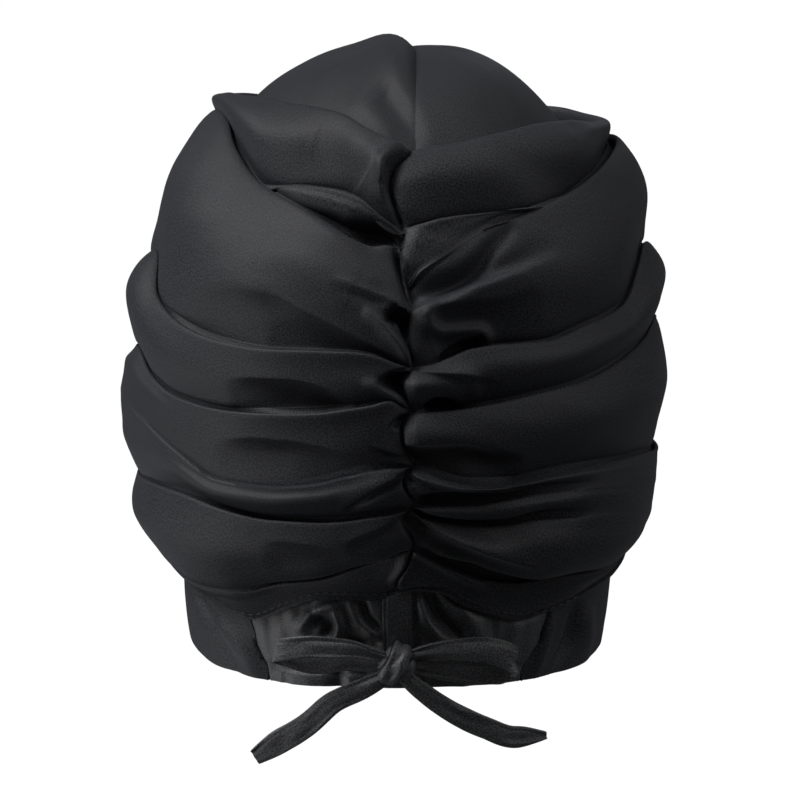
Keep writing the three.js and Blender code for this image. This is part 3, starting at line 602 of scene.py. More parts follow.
def make_mesh(name, points, faces, flat):
    """Make a smooth-shaded object of points in millimetres, with its flat cloth places as UVs."""
    mesh = bpy.data.meshes.new(name)
    mesh.from_pydata((points * MM).tolist(), [], faces)
    mesh.update()
    layer = mesh.uv_layers.new(name="cloth")
    corners = np.zeros(len(mesh.loops), int)
    mesh.loops.foreach_get("vertex_index", corners)
    layer.data.foreach_set("uv", flat[corners].ravel())
    mesh.polygons.foreach_set("use_smooth", [True] * len(mesh.polygons))
    mesh.set_sharp_from_angle(angle=math.radians(70))
    piece = bpy.data.objects.new(name, mesh)
    bpy.context.scene.collection.objects.link(piece)
    return piece


def every_other(count):
    """Every second of a number of rows, and the last."""
    return [*range(0, count - 1, 2), count - 1]


def grid_cells(index):
    """The point numbers at the four corners of each cell."""
    return np.stack((index[:-1, :-1], index[1:, :-1], index[1:, 1:], index[:-1, 1:]), -1)


def edge_faces(outside, inside, kept):
    """Faces that close an edge between a fine outside and a coarser inside."""
    spans = enumerate(zip(kept, kept[1:]))
    return [[*outside[a:b + 1], inside[k + 1], inside[k]] for k, (a, b) in spans]


def cloth_piece(name, grid, wall):
    """Make a closed sheet of cloth from a grid of its outside points, rows downwards."""
    normals = grid_normals(grid)
    down, along = every_other(grid.shape[0]), every_other(grid.shape[1])
    kept = np.ix_(down, along)
    outside = np.arange(grid[..., 0].size).reshape(grid.shape[:2])
    inside = outside.size + np.arange(outside[kept].size).reshape(outside[kept].shape)
    points = np.concatenate([grid.reshape(-1, 3), (grid - normals * wall)[kept].reshape(-1, 3)])
    forward = edge_faces(outside[0], inside[0], along) + edge_faces(outside[:, -1], inside[:, -1], down)
    backward = edge_faces(outside[-1], inside[-1], along) + edge_faces(outside[:, 0], inside[:, 0], down)
    shown, hidden = (grid_cells(index).reshape(-1, 4).tolist() for index in (outside, inside))
    faces = shown + [face[::-1] for face in hidden + backward] + forward
    if runs_backwards(grid, normals):
        faces = [face[::-1] for face in faces]
    flat = cloth_places(grid)
    return make_mesh(name, points, faces, np.concatenate([flat.reshape(-1, 2), flat[kept].reshape(-1, 2)]))


def slit_cloth_piece(name, grid, wall, row, column):
    """Make a closed sheet like cloth_piece, slit from a row downwards between two columns."""
    normals = grid_normals(grid)
    count = grid[..., 0].size
    cells = grid_cells(np.arange(count).reshape(grid.shape[:2]))
    kept = np.ones(cells.shape[:2], bool)
    kept[row:, column] = False
    outside = cells[kept][:, ::-1] if runs_backwards(grid, normals) else cells[kept]
    edges = {(a, b) for face in outside.tolist() for a, b in zip(face, face[1:] + face[:1])}
    walls = [[b, a, a + count, b + count] for a, b in sorted(edges) if (b, a) not in edges]
    faces = outside.tolist() + (outside[:, ::-1] + count).tolist() + walls
    points = np.concatenate([grid.reshape(-1, 3), (grid - normals * wall).reshape(-1, 3)])
    return make_mesh(name, points, faces, np.tile(cloth_places(grid).reshape(-1, 2), (2, 1)))


def tube_faces(rings, count):
    """Faces of a tube of rings, closed at both ends by a face."""
    index = np.arange(rings * count).reshape(rings, count)
    around = np.roll(index, -1, axis=1)
    side = np.stack([index[:-1], around[:-1], around[1:], index[1:]], -1).reshape(-1, 4).tolist()
    return [*side, index[0, ::-1].tolist(), index[-1].tolist()]


def b_spline(rows, samples):
    """Run a smooth curve along control rows, with a number of samples for each stretch."""
    padded = np.concatenate([rows[:1], rows[:1], rows, rows[-1:], rows[-1:]])
    out = []
    for k in range(len(padded) - 3):
        count = samples[min(max(k - 1, 0), len(samples) - 1)]
        for t in np.arange(count) / count:
            weight = (
                (1 - t) ** 3 / 6,
                (3 * t**3 - 6 * t**2 + 4) / 6,
                (-3 * t**3 + 3 * t**2 + 3 * t + 1) / 6,
                t**3 / 6,
            )
            out.append(sum(w * padded[k + j] for j, w in enumerate(weight)))
    out.append(padded[-1])
    return np.array(out)


# ---------------------------------------------------------------- the wrap

SEAM_WIDTH = 0.5
SEAM_STAND_OUT = -3
SEAM_LOW_STAND_OUT = -5.5  # the same between the lowest folds, which lie closer to the cap
SEAM_LOW_LEVELS = (32, 50)  # heights over which one gives way to the other
PINCH_DEPTH = 2.5  # how far each rim is drawn in at the gathered seam
PINCH_HEIGHT = 4
PINCH_REACH = 4
WANDER_REACH = 9  # degrees over which the cloth follows the seam's zigzag
FRONT_SEAM_DEPTH = 2.5
FRONT_SEAM_WIDTH = 4
COLUMN_STEP, COLUMN_GROWTH = 0.24, 0.019
CUFF_ROWS = 3
PLEAT_SAMPLES = (3, 3, 5, 7, 8, 8, 7, 6, 3, 2, 1, 1, 1, 2)

# Unevenness all over the wrap: the size of its cells along and down the cloth, where they begin, how
# soon they slant, their seed, how far they raise the cloth and how far from the seam they fade.
Uneven = namedtuple("Uneven", "name along down begin slant seed height fade")
WRAP_UNEVEN = (
    Uneven("gathers", 17, 5.5, 7, 90, 3, 0.5, 26),
    Uneven("swells", 34, 17, 2, math.inf, 11, 0.8, math.inf),
    Uneven("ripples", 30, 7, 5, 60, 17, 0.2, math.inf),
)


def wrap_columns():
    """Degrees from the gathered seam, close together near it and wide apart in front."""
    columns = [0.0]
    while columns[-1] < 180:
        columns.append(columns[-1] + COLUMN_STEP + COLUMN_GROWTH * columns[-1])
    return np.array(columns) * 180 / columns[-1]


def wrap_azimuth(side, q):
    """The azimuths of a half of the wrap, from degrees round from the gathered seam."""
    return side * q + SEAM_AZIMUTH * (1 - q / 180)


def wrap_rows(folds, q):
    """Control rows down the wrap: height, stand-out, how much detail each takes, and its fold."""
    rims = []
    for fold in folds:
        shape = [
            smooth(SHAPE_STATIONS, values, q)
            for values in (fold.lip, fold.belly, fold.tuck, fold.gap, fold.hang)
        ]
        rims.append((smooth(STATIONS, fold.height, q), *shape))
    one = np.ones_like(q)
    top, lip = rims[0][:2]
    crisp = [one] + [np.clip(rim[3] / 1.5, 0, 1) for rim in rims[1:]]
    rows = [
        (top - 16, lip - 15, 0 * one, 0 * one),
        (top - 8, lip - 8, 0 * one, 0 * one),
        (top - 1.5, lip - 4.5, 0.3 * one, 0 * one),
    ]
    pleats = enumerate(zip(rims, rims[1:], crisp, crisp[1:]))
    for number, ((z0, lip0, belly, *_), (z1, lip1, _, tuck, gap, hang), own, sharp) in pleats:
        turn = z1 + gap
        tall = np.maximum(z0 - turn, 0.5)
        drop = np.minimum(1.1 * tuck, 8)
        behind = lip1 - tuck
        faded = one - sharp
        curled = sharp**3

        def fall(share, kept):
            """Stand-out on the way from the belly to the tuck."""
            return mix(mix(belly, behind, share), mix(belly, behind, kept), hang)

        # from the lip down over the belly, then in behind the next lip and down to it
        pleat = [
            (z0 + 0.35 * own, lip0 - 1.1 * own**2, one),
            (z0 - mix(1.4, 0.5, own), lip0 + 0.2 * own, one),
            (z0 - np.minimum(mix(5, 3, own), mix(0.22, 0.16, own) * tall), mix(lip0, belly, 0.35), one),
            (z0 - 0.3 * tall, mix(lip0, belly, 0.9), one),
            (z0 - 0.48 * tall, belly, one),
            (z0 - 0.66 * tall, fall(0.25, 0), one),
            (z0 - 0.84 * tall, fall(0.6, 0.05), one),
            (turn + np.minimum(0.6, 0.05 * tall), fall(0.85, 0.25), one),
            (mix(z1 + 0.84 * gap, turn - 0.4, sharp), fall(0.98, 0.75), mix(1, 0.9, sharp)),
            (mix(z1 + 0.7 * gap, turn - 0.3 + 0.8 * hang, sharp), behind, mix(1, 0.6, sharp)),
            (mix(z1 + 0.56 * gap, z1 - 0.5 * drop, sharp), behind, faded),
            (mix(z1 + 0.42 * gap, z1 - drop, sharp), lip1 - 0.75 * tuck, faded),
            (mix(z1 + 0.28 * gap, z1 - 0.8 * drop, sharp), lip1 - 0.5 * tuck - 0.3 * curled, faded),
            (
                mix(z1 + 0.14 * gap, z1 - 0.4 * drop, sharp),
                lip1 - 0.4 * tuck - 0.6 * curled,
                mix(1, 0.2, sharp),
            ),
        ]
        rows += [(*row, number * one) for row in pleat]
    z_end, lip_end = rims[-1][:2]
    last = (len(folds) - 1) * one
    rows += [(z_end + 1, lip_end, one, last), (z_end, lip_end - 0.8, 0.3 * one, last)]
    return rows


def wrap_piece(name, folds, strokes, creases, side, wall):
    """One half of the wrap, from the gathered seam round to the centre front."""
    q = wrap_columns()
    rows = np.array([np.stack(row) for row in wrap_rows(folds, q)])
    samples = [2] * CUFF_ROWS + list(PLEAT_SAMPLES) * (len(folds) - 1) + [1]
    z, out, detail, number = b_spline(rows, samples).transpose(1, 0, 2)
    q = np.broadcast_to(q, z.shape)
    seam_z, seam_x = zip(*reversed(SEAM_LINE))
    wander = np.degrees(smooth(seam_z, seam_x, z) / wrap_reach("back", z)) - SEAM_AZIMUTH
    azimuth = wrap_azimuth(side, q) + wander * bump(q, WANDER_REACH)
    from_seam = np.radians(q) * WRAP_RADIUS
    pinch = np.minimum(sum(bump(z - fold.height[0], PINCH_HEIGHT) for fold in folds), 1)
    out = out - PINCH_DEPTH * pinch * np.exp(-from_seam / PINCH_REACH)
    out = out - FRONT_SEAM_DEPTH * bump(q - 180, FRONT_SEAM_WIDTH)
    raised = stroke_field(strokes, azimuth, z, WRAP_RADIUS, folds, number)
    raised = raised + crease_field(creases, azimuth, z, WRAP_RADIUS, folds, number)
    for kind in WRAP_UNEVEN:
        down = z / kind.down + from_seam / kind.slant
        cells = noise(from_seam / kind.along + kind.begin, down, kind.seed + side)
        raised = raised + cells * np.exp(-from_seam / kind.fade) * kind.height
    out = out + detail * raised
    seam_out = mix(SEAM_LOW_STAND_OUT, SEAM_STAND_OUT, ramp(z, *SEAM_LOW_LEVELS))
    out = mix(out, seam_out, np.exp(-from_seam / SEAM_WIDTH))
    grid = wrap_form(azimuth, z) + wrap_normal(azimuth, z) * out[..., None]
    return cloth_piece(name, grid, wall)


# ---------------------------------------------------------------- cap, nape and tie

STITCHES_BEGIN = 2.5  # degrees from the gathered seam
STITCHES_ABOVE_EDGE = 2
STITCH_SIDES = 6
STITCH_GAP, STITCH_THICKNESS = 1.3, 0.32
UNDERLAP = 9  # how far the nape panel runs up under the wrap
CAP_OVERLAP = 5  # and how far above the wrap's edge the cap panels end over it
STRIP_HALF_WIDTH = 5.8
STRIP_WALL = 0.9
STRIP_COLUMNS, STRIP_ROWS = 25, 40
STRIP_UNDERLAP = 4  # how far the strip runs up under the wrap
STRIP_END = -9  # the height of its lower end
STRIP_RADIUS = 90
CROWN_LEVELS = (196, 214)  # heights over which the crown's swell and dips set in
CROWN_SWELL = 2.4  # how far the left panel swells beside the crown's seam
CROWN_DIP = 2.6  # how far both panels dip at it
POLE_EVEN = 30  # the crown's middle stays even within about this reach
MIDDLE_EVEN = 6  # and the cap's middle from back to front within about this distance
SEAM_LAP = 0.15  # how far each panel reaches past the cap's middle, so that its seam is shut
POLE_LAP = 0.6  # how much further at the crown's middle, where the panels' rows begin
POLE_LAP_REACH = 1.5
SEAM_GROOVE = 0.9  # how deep the seam lies between the panels
SEAM_GROOVE_REACH = 1.6
SWELL_REACH = 8
DIP_REACH_LEFT, DIP_REACH_RIGHT = 3, 22
EDGE_ROLL, EDGE_ROLL_REACH = 0.7, 0.7  # how far a panel's edge beside the nape panel is rolled in
EDGE_ROLL_LEVELS = (20, 34)  # heights over which that ends
LEAN_REACH = 25  # degrees round from the nape panel over which the lean of its seam dies out
SLIT_DEGREES = 0.15  # how far apart the columns either side of a panel's slit are
BACK_COLUMNS, FRONT_COLUMNS = 42, 96
NAPE_UNDERLAP = 2.8  # degrees by which the nape panel runs under the cap panels
NAPE_COLUMNS, NAPE_ROWS = 221, 64
TOP_SEAM_DEPTH = 1.2
DOME_LATITUDES = (89.8, *np.linspace(88, 0, 56))
SKIRT_ROWS = 60
ELASTIC_DEPTH = 1.2  # how far the elastic draws the hem in
ELASTIC_HEIGHT = 6


def cap_detail(azimuth, z):
    """The cap's and the nape panel's strokes and unevenness, which fades at the middle and the pole."""
    side = np.where(azimuth < 0, 0, 17)
    q = np.abs(azimuth)
    at_hem = bump(z - hem_height(azimuth), 12)
    uneven = noise(q / 14 + 3 + side, z / 22, 21) * 0.8
    uneven = uneven + noise(q / 5 + 3 + side, z / 30, 23) * 0.5 * at_hem
    reach = cap_reach("side", z)
    from_middle = reach * np.abs(np.sin(np.radians(azimuth)))
    even = (1 - np.exp(-from_middle / MIDDLE_EVEN)) * (1 - bump(reach, POLE_EVEN))
    return stroke_field(CAP_STROKES, azimuth, z, CAP_RADIUS) + uneven * even


def cap_piece(name, side, wall):
    """One cap panel, from the crown's seam to the hem and above the nape panel at the back."""
    edge = NAPE_HALF_ANGLE
    beyond = np.linspace(edge + SLIT_DEGREES, 180, FRONT_COLUMNS)
    q = np.concatenate([np.linspace(0, edge, BACK_COLUMNS), beyond])
    azimuth = side * q
    latitude = np.radians(DOME_LATITUDES)
    dome = CAP_WIDEST + (CAP_TOP - CAP_WIDEST) * np.sin(latitude) ** (2 / DOME_FULLNESS)
    near = bump(np.maximum(q - edge, 0), LEAN_REACH) * (q > edge)
    at_hem = azimuth + near * seam_lean(azimuth, hem_height(azimuth))
    bottom = np.where(q <= edge, edge_height(azimuth) + CAP_OVERLAP, hem_height(at_hem))
    shares = np.linspace(0, 1, SKIRT_ROWS + 1)[1:]
    z = np.concatenate([
        np.broadcast_to(dome[:, None], (len(dome), len(q))),
        mix(CAP_WIDEST, bottom[None, :], shares[:, None]),
    ])
    azimuth = azimuth + near * seam_lean(azimuth, z)
    rolled = np.exp(-np.maximum(q - edge, 0) / EDGE_ROLL_REACH) * (q > edge)
    out = cap_detail(azimuth, z) - EDGE_ROLL * rolled * (1 - ramp(z, *EDGE_ROLL_LEVELS))
    base = cap_point(azimuth, z, np.zeros_like(z))
    from_seam = np.abs(base[..., 0])
    out = out - SEAM_GROOVE * np.exp(-from_seam / SEAM_GROOVE_REACH)
    at_crown = ramp(z, *CROWN_LEVELS)
    if side == LEFT:
        swell = CROWN_SWELL * bump(from_seam - SWELL_REACH, SWELL_REACH)
        at_seam = CROWN_SWELL * bump(SWELL_REACH, SWELL_REACH) + CROWN_DIP
        out = out + (swell - at_seam * np.exp(-from_seam / DIP_REACH_LEFT)) * at_crown
    else:
        out = out - CROWN_DIP * bump(from_seam, DIP_REACH_RIGHT) * at_crown
    grid = cap_point(azimuth, z, out)
    from_pole = np.hypot(base[..., 0], base[..., 1])
    lap = SEAM_LAP + POLE_LAP * bump(from_pole, POLE_LAP_REACH)
    grid[..., 0] = side * (np.abs(grid[..., 0]) - lap)
    slit = (q <= edge).sum() - 1
    return slit_cloth_piece(name, with_seam_shift(grid), wall, len(dome), slit)


def nape_piece(name, wall):
    """The nape panel: folds from the sewn top edge, and an elastic hem gathered underneath."""
    limit = NAPE_HALF_ANGLE + NAPE_UNDERLAP
    q = np.linspace(-limit, limit, NAPE_COLUMNS)
    shares = np.linspace(0, 1, NAPE_ROWS)[:, None]
    z = mix(edge_height(q) + UNDERLAP, hem_height(q), shares)
    azimuth = q + np.abs(q) / limit * seam_lean(q, z)
    top, hem = edge_height(azimuth) + UNDERLAP, hem_height(azimuth)
    z = mix(top, hem, shares)
    plain = ramp(limit - np.abs(q), 1, 9) * ramp(np.abs(azimuth), 2, 6)
    under = -1 * ramp(np.abs(q), NAPE_HALF_ANGLE - 0.9, NAPE_HALF_ANGLE - 0.1)
    folds = noise(azimuth / 3.2 + 9, z / 26 + azimuth / 40, 31) * 1.5
    hem_wrinkles = noise(azimuth / 2.6 + 4, z / 9, 33) * 0.9 * bump(z - hem, 7)
    elastic = -ELASTIC_DEPTH * bump(z - hem - ELASTIC_HEIGHT, 1.6)
    sewn = ramp(top - z, 4, 12)
    gathers = folds + hem_wrinkles + elastic + stroke_field(NAPE_STROKES, azimuth, z, CAP_RADIUS)
    out = cap_detail(azimuth, z) + under + plain * sewn * gathers - TOP_SEAM_DEPTH * (1 - sewn)
    return cloth_piece(name, cap_point(azimuth, z, out), wall)


def strip_piece(name):
    """The short strip down the nape panel's centre, with a sewn groove along both sides."""
    half = math.degrees(STRIP_HALF_WIDTH / STRIP_RADIUS)
    azimuth, share = np.meshgrid(np.linspace(-half, half, STRIP_COLUMNS), np.linspace(0, 1, STRIP_ROWS))
    z = mix(edge_height(azimuth) + STRIP_UNDERLAP, STRIP_END, share)
    edge = 1 - np.abs(azimuth) / half
    out = 1 + 0.5 * np.clip(edge * 4, 0, 1) ** 0.5 + 0.4 * noise(azimuth / 2.4, z / 6, 41)
    grid = cap_point(azimuth, z, out - 0.5 * bump(edge - 0.22, 0.06))
    return cloth_piece(name, grid, STRIP_WALL)


def distance_along(path):
    """Distance of each point of a path from its start."""
    return np.concatenate([[0], np.cumsum(np.linalg.norm(np.diff(path, axis=0), axis=1))])


def ribbon_path(stations, count):
    """A smooth run through the stations: points and shares of the tie's width."""
    stations = np.array(stations, float)
    at = distance_along(stations[:, :3])
    fine = np.linspace(0, at[-1], count)
    values = [smooth(at, stations[:, k], fine) for k in range(4)]
    for line in values * 3:
        line[1:-1] = 0.25 * line[:-2] + 0.5 * line[1:-1] + 0.25 * line[2:]
    path = np.stack(values[:3], -1)
    path[:, 1] += BOW_PLANE + BOW_BEND * path[:, 0] ** 2
    return path, values[3]


def ribbon_piece(name, stations, seed, tie_width):
    """A flat folded tape that follows its stations, with a seam along it and soft creases."""
    path, share = ribbon_path(stations, TAPE_ROWS)
    along = unit(np.gradient(path, axis=0))
    wide = unit(np.array([0, 0, 1]) - along * along[:, 2:3])
    thin = np.cross(along, wide)
    t = full_turn(TAPE_SIDES)
    w = np.sign(np.cos(t)) * np.abs(np.cos(t)) ** 0.55
    d = np.sign(np.sin(t)) * np.abs(np.sin(t)) ** 0.8
    travelled = distance_along(path)
    s = travelled[:, None]
    squeezed = 1 + 1.1 * (1 - np.minimum(share, 1))[:, None]
    creases = noise(w[None, :] * 2.2 + s / 40 + 5, s / 9, seed) * 0.55 * squeezed
    lengthwise = noise(w[None, :] * 3.5 + 9 + 0 * s, s / 30, seed + 1) * 0.4 * squeezed
    seam = -TAPE_SEAM_DEPTH * bump(w[None, :] - 0.62, 0.07)
    half = TIE_WALL / 2 * squeezed
    depth = d[None, :] * (half + seam * np.abs(d[None, :]) ** 0.3)
    depth = depth + (creases + lengthwise) * (1 - w[None, :] ** 4)
    width = (tie_width / 2) * share[:, None] * w[None, :]
    width = width + 0.25 * noise(s / 8 + 3, w[None, :] * 0.5, seed + 2)
    points = path[:, None, :] + wide[:, None, :] * width[..., None] + thin[:, None, :] * depth[..., None]
    flat = np.stack(np.broadcast_arrays(s, w[None, :] * tie_width / 2), -1).reshape(-1, 2)
    return make_mesh(name, points.reshape(-1, 3), tube_faces(TAPE_ROWS, TAPE_SIDES), flat)


def knot_piece(name):
    """The knot: a tight wad of tape, wrapped by a slanting band with puckers either side."""
    rings, around = 90, 128
    polar = np.linspace(0.03, np.pi - 0.03, rings)
    polar, turn = np.meshgrid(polar, full_turn(around), indexing="ij")
    ball = np.stack([np.sin(polar) * np.sin(turn), -np.sin(polar) * np.cos(turn), np.cos(polar)], -1)
    x, z = ball[..., 0], ball[..., 2]
    slant, along = 0.85 * x - 0.5 * z, 0.5 * x + 0.85 * z
    band = ramp(0.5 - np.abs(slant + 0.1), 0, 0.1)
    pleats = np.sin(slant * 11 + 1.2 * along + 0.8 * np.sin(along * 2.6)) * 0.045 * (0.4 + 0.6 * band)
    folds = noise(slant * 3 + 7, along * 1.3 + 3, 51) * 0.13 + noise(slant * 7 + 2, along * 2, 53) * 0.05
    groove = bump(np.abs(slant + 0.1) - 0.56, 0.08)
    reach = 0.86 + 0.18 * band + pleats + folds - 0.14 * groove
    points = ball * reach[..., None] * np.array(KNOT_SIZE) / 2 * 1.06 + np.array(KNOT_CENTRE)
    flat = np.stack([turn * 7, polar * 7], -1).reshape(-1, 2)
    return make_mesh(name, points.reshape(-1, 3), tube_faces(rings, around), flat)


def stitches(name, path, normals, length):
    """A row of stitches lying along a path on the cloth."""
    travelled = distance_along(path)
    points, faces, flat = [], [], []
    around = full_turn(STITCH_SIDES)
    profile = ((0, 0.35), (0.15, 0.85), (0.5, 1), (0.85, 0.85), (1, 0.35))
    for start in np.arange(1, travelled[-1] - length, length + STITCH_GAP):
        base = sum(len(p) for p in points)
        at = [start + length * share for share, _ in profile]
        middle = np.stack([np.interp(at, travelled, path[:, k]) for k in range(3)], -1)
        normal = unit(np.stack([np.interp(at, travelled, normals[:, k]) for k in range(3)], -1))
        along = unit(np.gradient(middle, axis=0))
        across = np.cross(along, normal)
        size = STITCH_THICKNESS * np.array([r for _, r in profile])
        ring = (
            middle[:, None, :]
            + across[:, None, :] * (size[:, None] * np.cos(around))[..., None]
            + normal[:, None, :] * (size[:, None] * np.sin(around) * 0.8 + 0.1)[..., None]
        )
        points.append(ring.reshape(-1, 3))
        faces += [[base + i for i in face] for face in tube_faces(len(profile), len(around))]
        flat.append(np.stack([np.repeat(at, len(around)), np.tile(around, len(profile))], -1))
    return make_mesh(name, np.concatenate(points), faces, np.concatenate(flat))


def wrap_edge_path(side):
    """A line close to the wrap's cloth, just above its lower edge at the back."""
    q = np.linspace(STITCHES_BEGIN, NAPE_HALF_ANGLE + 6, 160)
    azimuth = wrap_azimuth(side, q)
    folds = LEFT_FOLDS if side == LEFT else RIGHT_FOLDS
    z = smooth(STATIONS, folds[-1].height, q) + STITCHES_ABOVE_EDGE
    out = smooth(SHAPE_STATIONS, folds[-1].lip, q) + 0.6
    return wrap_form(azimuth, z) + wrap_normal(azimuth, z) * out[:, None]


def laid_on(cloth, path):
    """The path's nearest points on a finished piece of cloth, and the cloth's normals there."""
    corners = [vertex.co for vertex in cloth.data.vertices]
    tree = BVHTree.FromPolygons(corners, [face.vertices for face in cloth.data.polygons])
    found = [tree.find_nearest(Vector(point) * MM) for point in path]
    return np.array([near[0] for near in found]) / MM, np.array([near[1] for near in found])


# ---------------------------------------------------------------- materials


class Sum:
    """A number socket of a shader, for use in Python sums."""

    def __init__(self, tree, socket):
        self.tree, self.socket = tree, socket

    def math(self, operation, *values):
        made = self.tree.nodes.new("ShaderNodeMath")
        made.operation = operation
        for socket, value in zip(made.inputs, values):
            connect(self.tree, socket, value)
        return Sum(self.tree, made.outputs[0])

    def __add__(self, other):
        return self.math("ADD", self, other)

    def __radd__(self, other):
        return self.math("ADD", other, self)

    def __sub__(self, other):
        return self.math("SUBTRACT", self, other)

    def __rsub__(self, other):
        return self.math("SUBTRACT", other, self)

    def __mul__(self, other):
        return self.math("MULTIPLY", self, other)

    def __rmul__(self, other):
        return self.math("MULTIPLY", other, self)

    def sine(self):
        return self.math("SINE", self)


def connect(tree, socket, value):
    """Feed a socket with a link, a sum or a plain value."""
    if isinstance(value, Sum):
        value = value.socket
    if isinstance(value, bpy.types.NodeSocket):
        tree.links.new(value, socket)
    else:
        socket.default_value = value


class Finish:
    """A material whose nodes are added one call at a time."""

    def __init__(self, name):
        self.material = bpy.data.materials.new(name)
        self.material.use_nodes = True
        self.tree = self.material.node_tree
        self.shader = self.tree.nodes["Principled BSDF"]

    def node(self, kind, settings=None, **values):
        made = self.tree.nodes.new(kind)
        for key, value in (settings or {}).items():
            setattr(made, key, value)
        for key, value in values.items():
            connect(self.tree, made.inputs[key.replace("_", " ")], value)
        return made

    def number(self, kind, output, **values):
        return Sum(self.tree, self.node(kind, **values).outputs[output])

    def set(self, **values):
        for key, value in values.items():
            connect(self.tree, self.shader.inputs[key.replace("_", " ")], value)


Weave = namedtuple("Weave", "thread slant relief roughness mottle specular sheen")
STRETCH_WEAVE = Weave(0.55, 0.6, 0.3, 0.5, 0.2, 0.24, 0.06)
NAPE_WEAVE = Weave(0.6, 0.9, 0.25, 0.42, 0.3, 0.4, 0.05)
TIE_WEAVE = Weave(0.6, 1.0, 0.3, 0.44, 0.3, 0.4, 0.05)
SPECK_SCALE, MOTTLE_SCALE = 1.5, 0.07
GRAIN_CONTRAST = 5.5
SATIN_SPREAD, THREAD_SPREAD = 0.65, 0.4


def flat_cloth(finish):
    """The place on the flat cloth, and the distances across and down it."""
    place = finish.node("ShaderNodeUVMap", {"uv_map": "cloth"}).outputs["UV"]
    axes = finish.node("ShaderNodeSeparateXYZ", Vector=place)
    return place, Sum(finish.tree, axes.outputs["X"]), Sum(finish.tree, axes.outputs["Y"])


def two_shades(finish, colour, spread, factor):
    """A colour that runs from darker to paler than its own, by a share of it either way."""
    shade = finish.node("ShaderNodeMix", {"data_type": "RGBA"})
    connect(finish.tree, shade.inputs["Factor"], factor)
    shade.inputs["A"].default_value = (*[c * (1 - spread) for c in colour], 1)
    shade.inputs["B"].default_value = (*[c * (1 + spread) for c in colour], 1)
    return shade.outputs["Result"]


def satin(name, colour, weave):
    """Black satin: fine slanting threads, with a soft mottle and grain in its colour and gloss."""
    finish = Finish(name)
    place, across, down = flat_cloth(finish)
    turn = 2 * math.pi / weave.thread
    twill = (across * turn + down * (turn * weave.slant)).sine()
    weft = (down * (turn * 1.3)).sine()
    speck = finish.number("ShaderNodeTexNoise", "Fac", Vector=place, Scale=SPECK_SCALE, Detail=1.0)
    mottle = finish.number("ShaderNodeTexNoise", "Fac", Vector=place, Scale=MOTTLE_SCALE, Detail=3.0)
    grain = (speck - 0.5) * GRAIN_CONTRAST + 0.5
    factor = grain * (1 - weave.mottle) + mottle * weave.mottle
    height = twill * 0.5 + weft * 0.25 + speck * 2
    relief = finish.node("ShaderNodeBump", Strength=weave.relief, Distance=0.0002, Height=height)
    finish.set(
        Base_Color=two_shades(finish, colour, SATIN_SPREAD, factor),
        Roughness=(weave.roughness - 0.1) + mottle * 0.08 + speck * 0.12,
        Normal=relief.outputs["Normal"],
        Specular_IOR_Level=weave.specular,
        Sheen_Weight=weave.sheen,
        Sheen_Roughness=0.4,
        Sheen_Tint=(0.86, 0.9, 1.0, 1.0),
    )
    return finish.material


def thread(name, colour):
    """Twisted sewing thread, duller than the satin."""
    finish = Finish(name)
    _, across, down = flat_cloth(finish)
    ply = (across * 14 + down * 2).sine()
    shades = two_shades(finish, colour, THREAD_SPREAD, ply * 0.5 + 0.5)
    relief = finish.node("ShaderNodeBump", Strength=0.3, Distance=0.0001, Height=ply)
    finish.set(Base_Color=shades, Roughness=0.6, Normal=relief.outputs["Normal"])
    return finish.material


def dress(piece, material, slot, *nodes):
    """Give a piece its finish and hang it on the frame in place of its CAD nodes."""
    piece.data.materials.append(material)
    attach(piece, "root")
    if nodes:
        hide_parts(*nodes)
    return piece


# ---------------------------------------------------------------- operators

# The camera looks at the cap's back from a little above. Its square picture is so many pixels wide,
# and each of them takes in so many millimetres.
CAMERA_TARGET = Vector((0, 0, 0.0785))
CAMERA_ELEVATION = math.radians(8)
CAMERA_DISTANCE = 2.0
PICTURE_PIXELS, PIXEL_SIZE = 794, 0.39
FLOOR_RIM, FLOOR_HEIGHT = 14.0, -0.16
FLOOR_SIDES = 96
WORLD_STRENGTH = 0.08
# Where each light comes from, how many degrees wide it looks and its share of the main one's strength.
Lamp = namedtuple("Lamp", "name place softness share")
LAMPS = (
    Lamp("key", (-0.68, -0.1, 0.72), 28, 1),
    Lamp("overhead", (0.05, 0.05, 0.97), 50, 0.22),
    Lamp("fill", (0.8, -0.24, 0.55), 50, 0.25),
    Lamp("bounce", (-0.94, -0.08, -0.34), 40, 0.34),
)

# The flat cloth that each piece holds: its width and length in metres, and its area.
Cut = namedtuple("Cut", "width length area")


def finish_of(context, slot):
    """The shared material of a slot, made when it is first wanted."""
    looks = context.scene.swim_cap_looks
    makers = {
        "stretch_satin": lambda name: satin(name, looks.wrap_colour, STRETCH_WEAVE),
        "nape_satin": lambda name: satin(name, looks.nape_colour_with_painted_light, NAPE_WEAVE),
        "tie_satin": lambda name: satin(name, looks.tie_colour_with_painted_light, TIE_WEAVE),
        "sewing_thread": lambda name: thread(name, looks.thread_colour),
    }
    return bpy.data.materials.get(slot + "_weave") or makers[slot](slot + "_weave")


def colour_setting(name, description, default):
    return FloatVectorProperty(
        name=name, description=description, subtype="COLOR", default=default, min=0, max=1,
    )


def size_setting(name, description, default, least, most):
    return FloatProperty(
        name=name, description=description, subtype="DISTANCE", unit="LENGTH",
        default=default, min=least, max=most,
    )


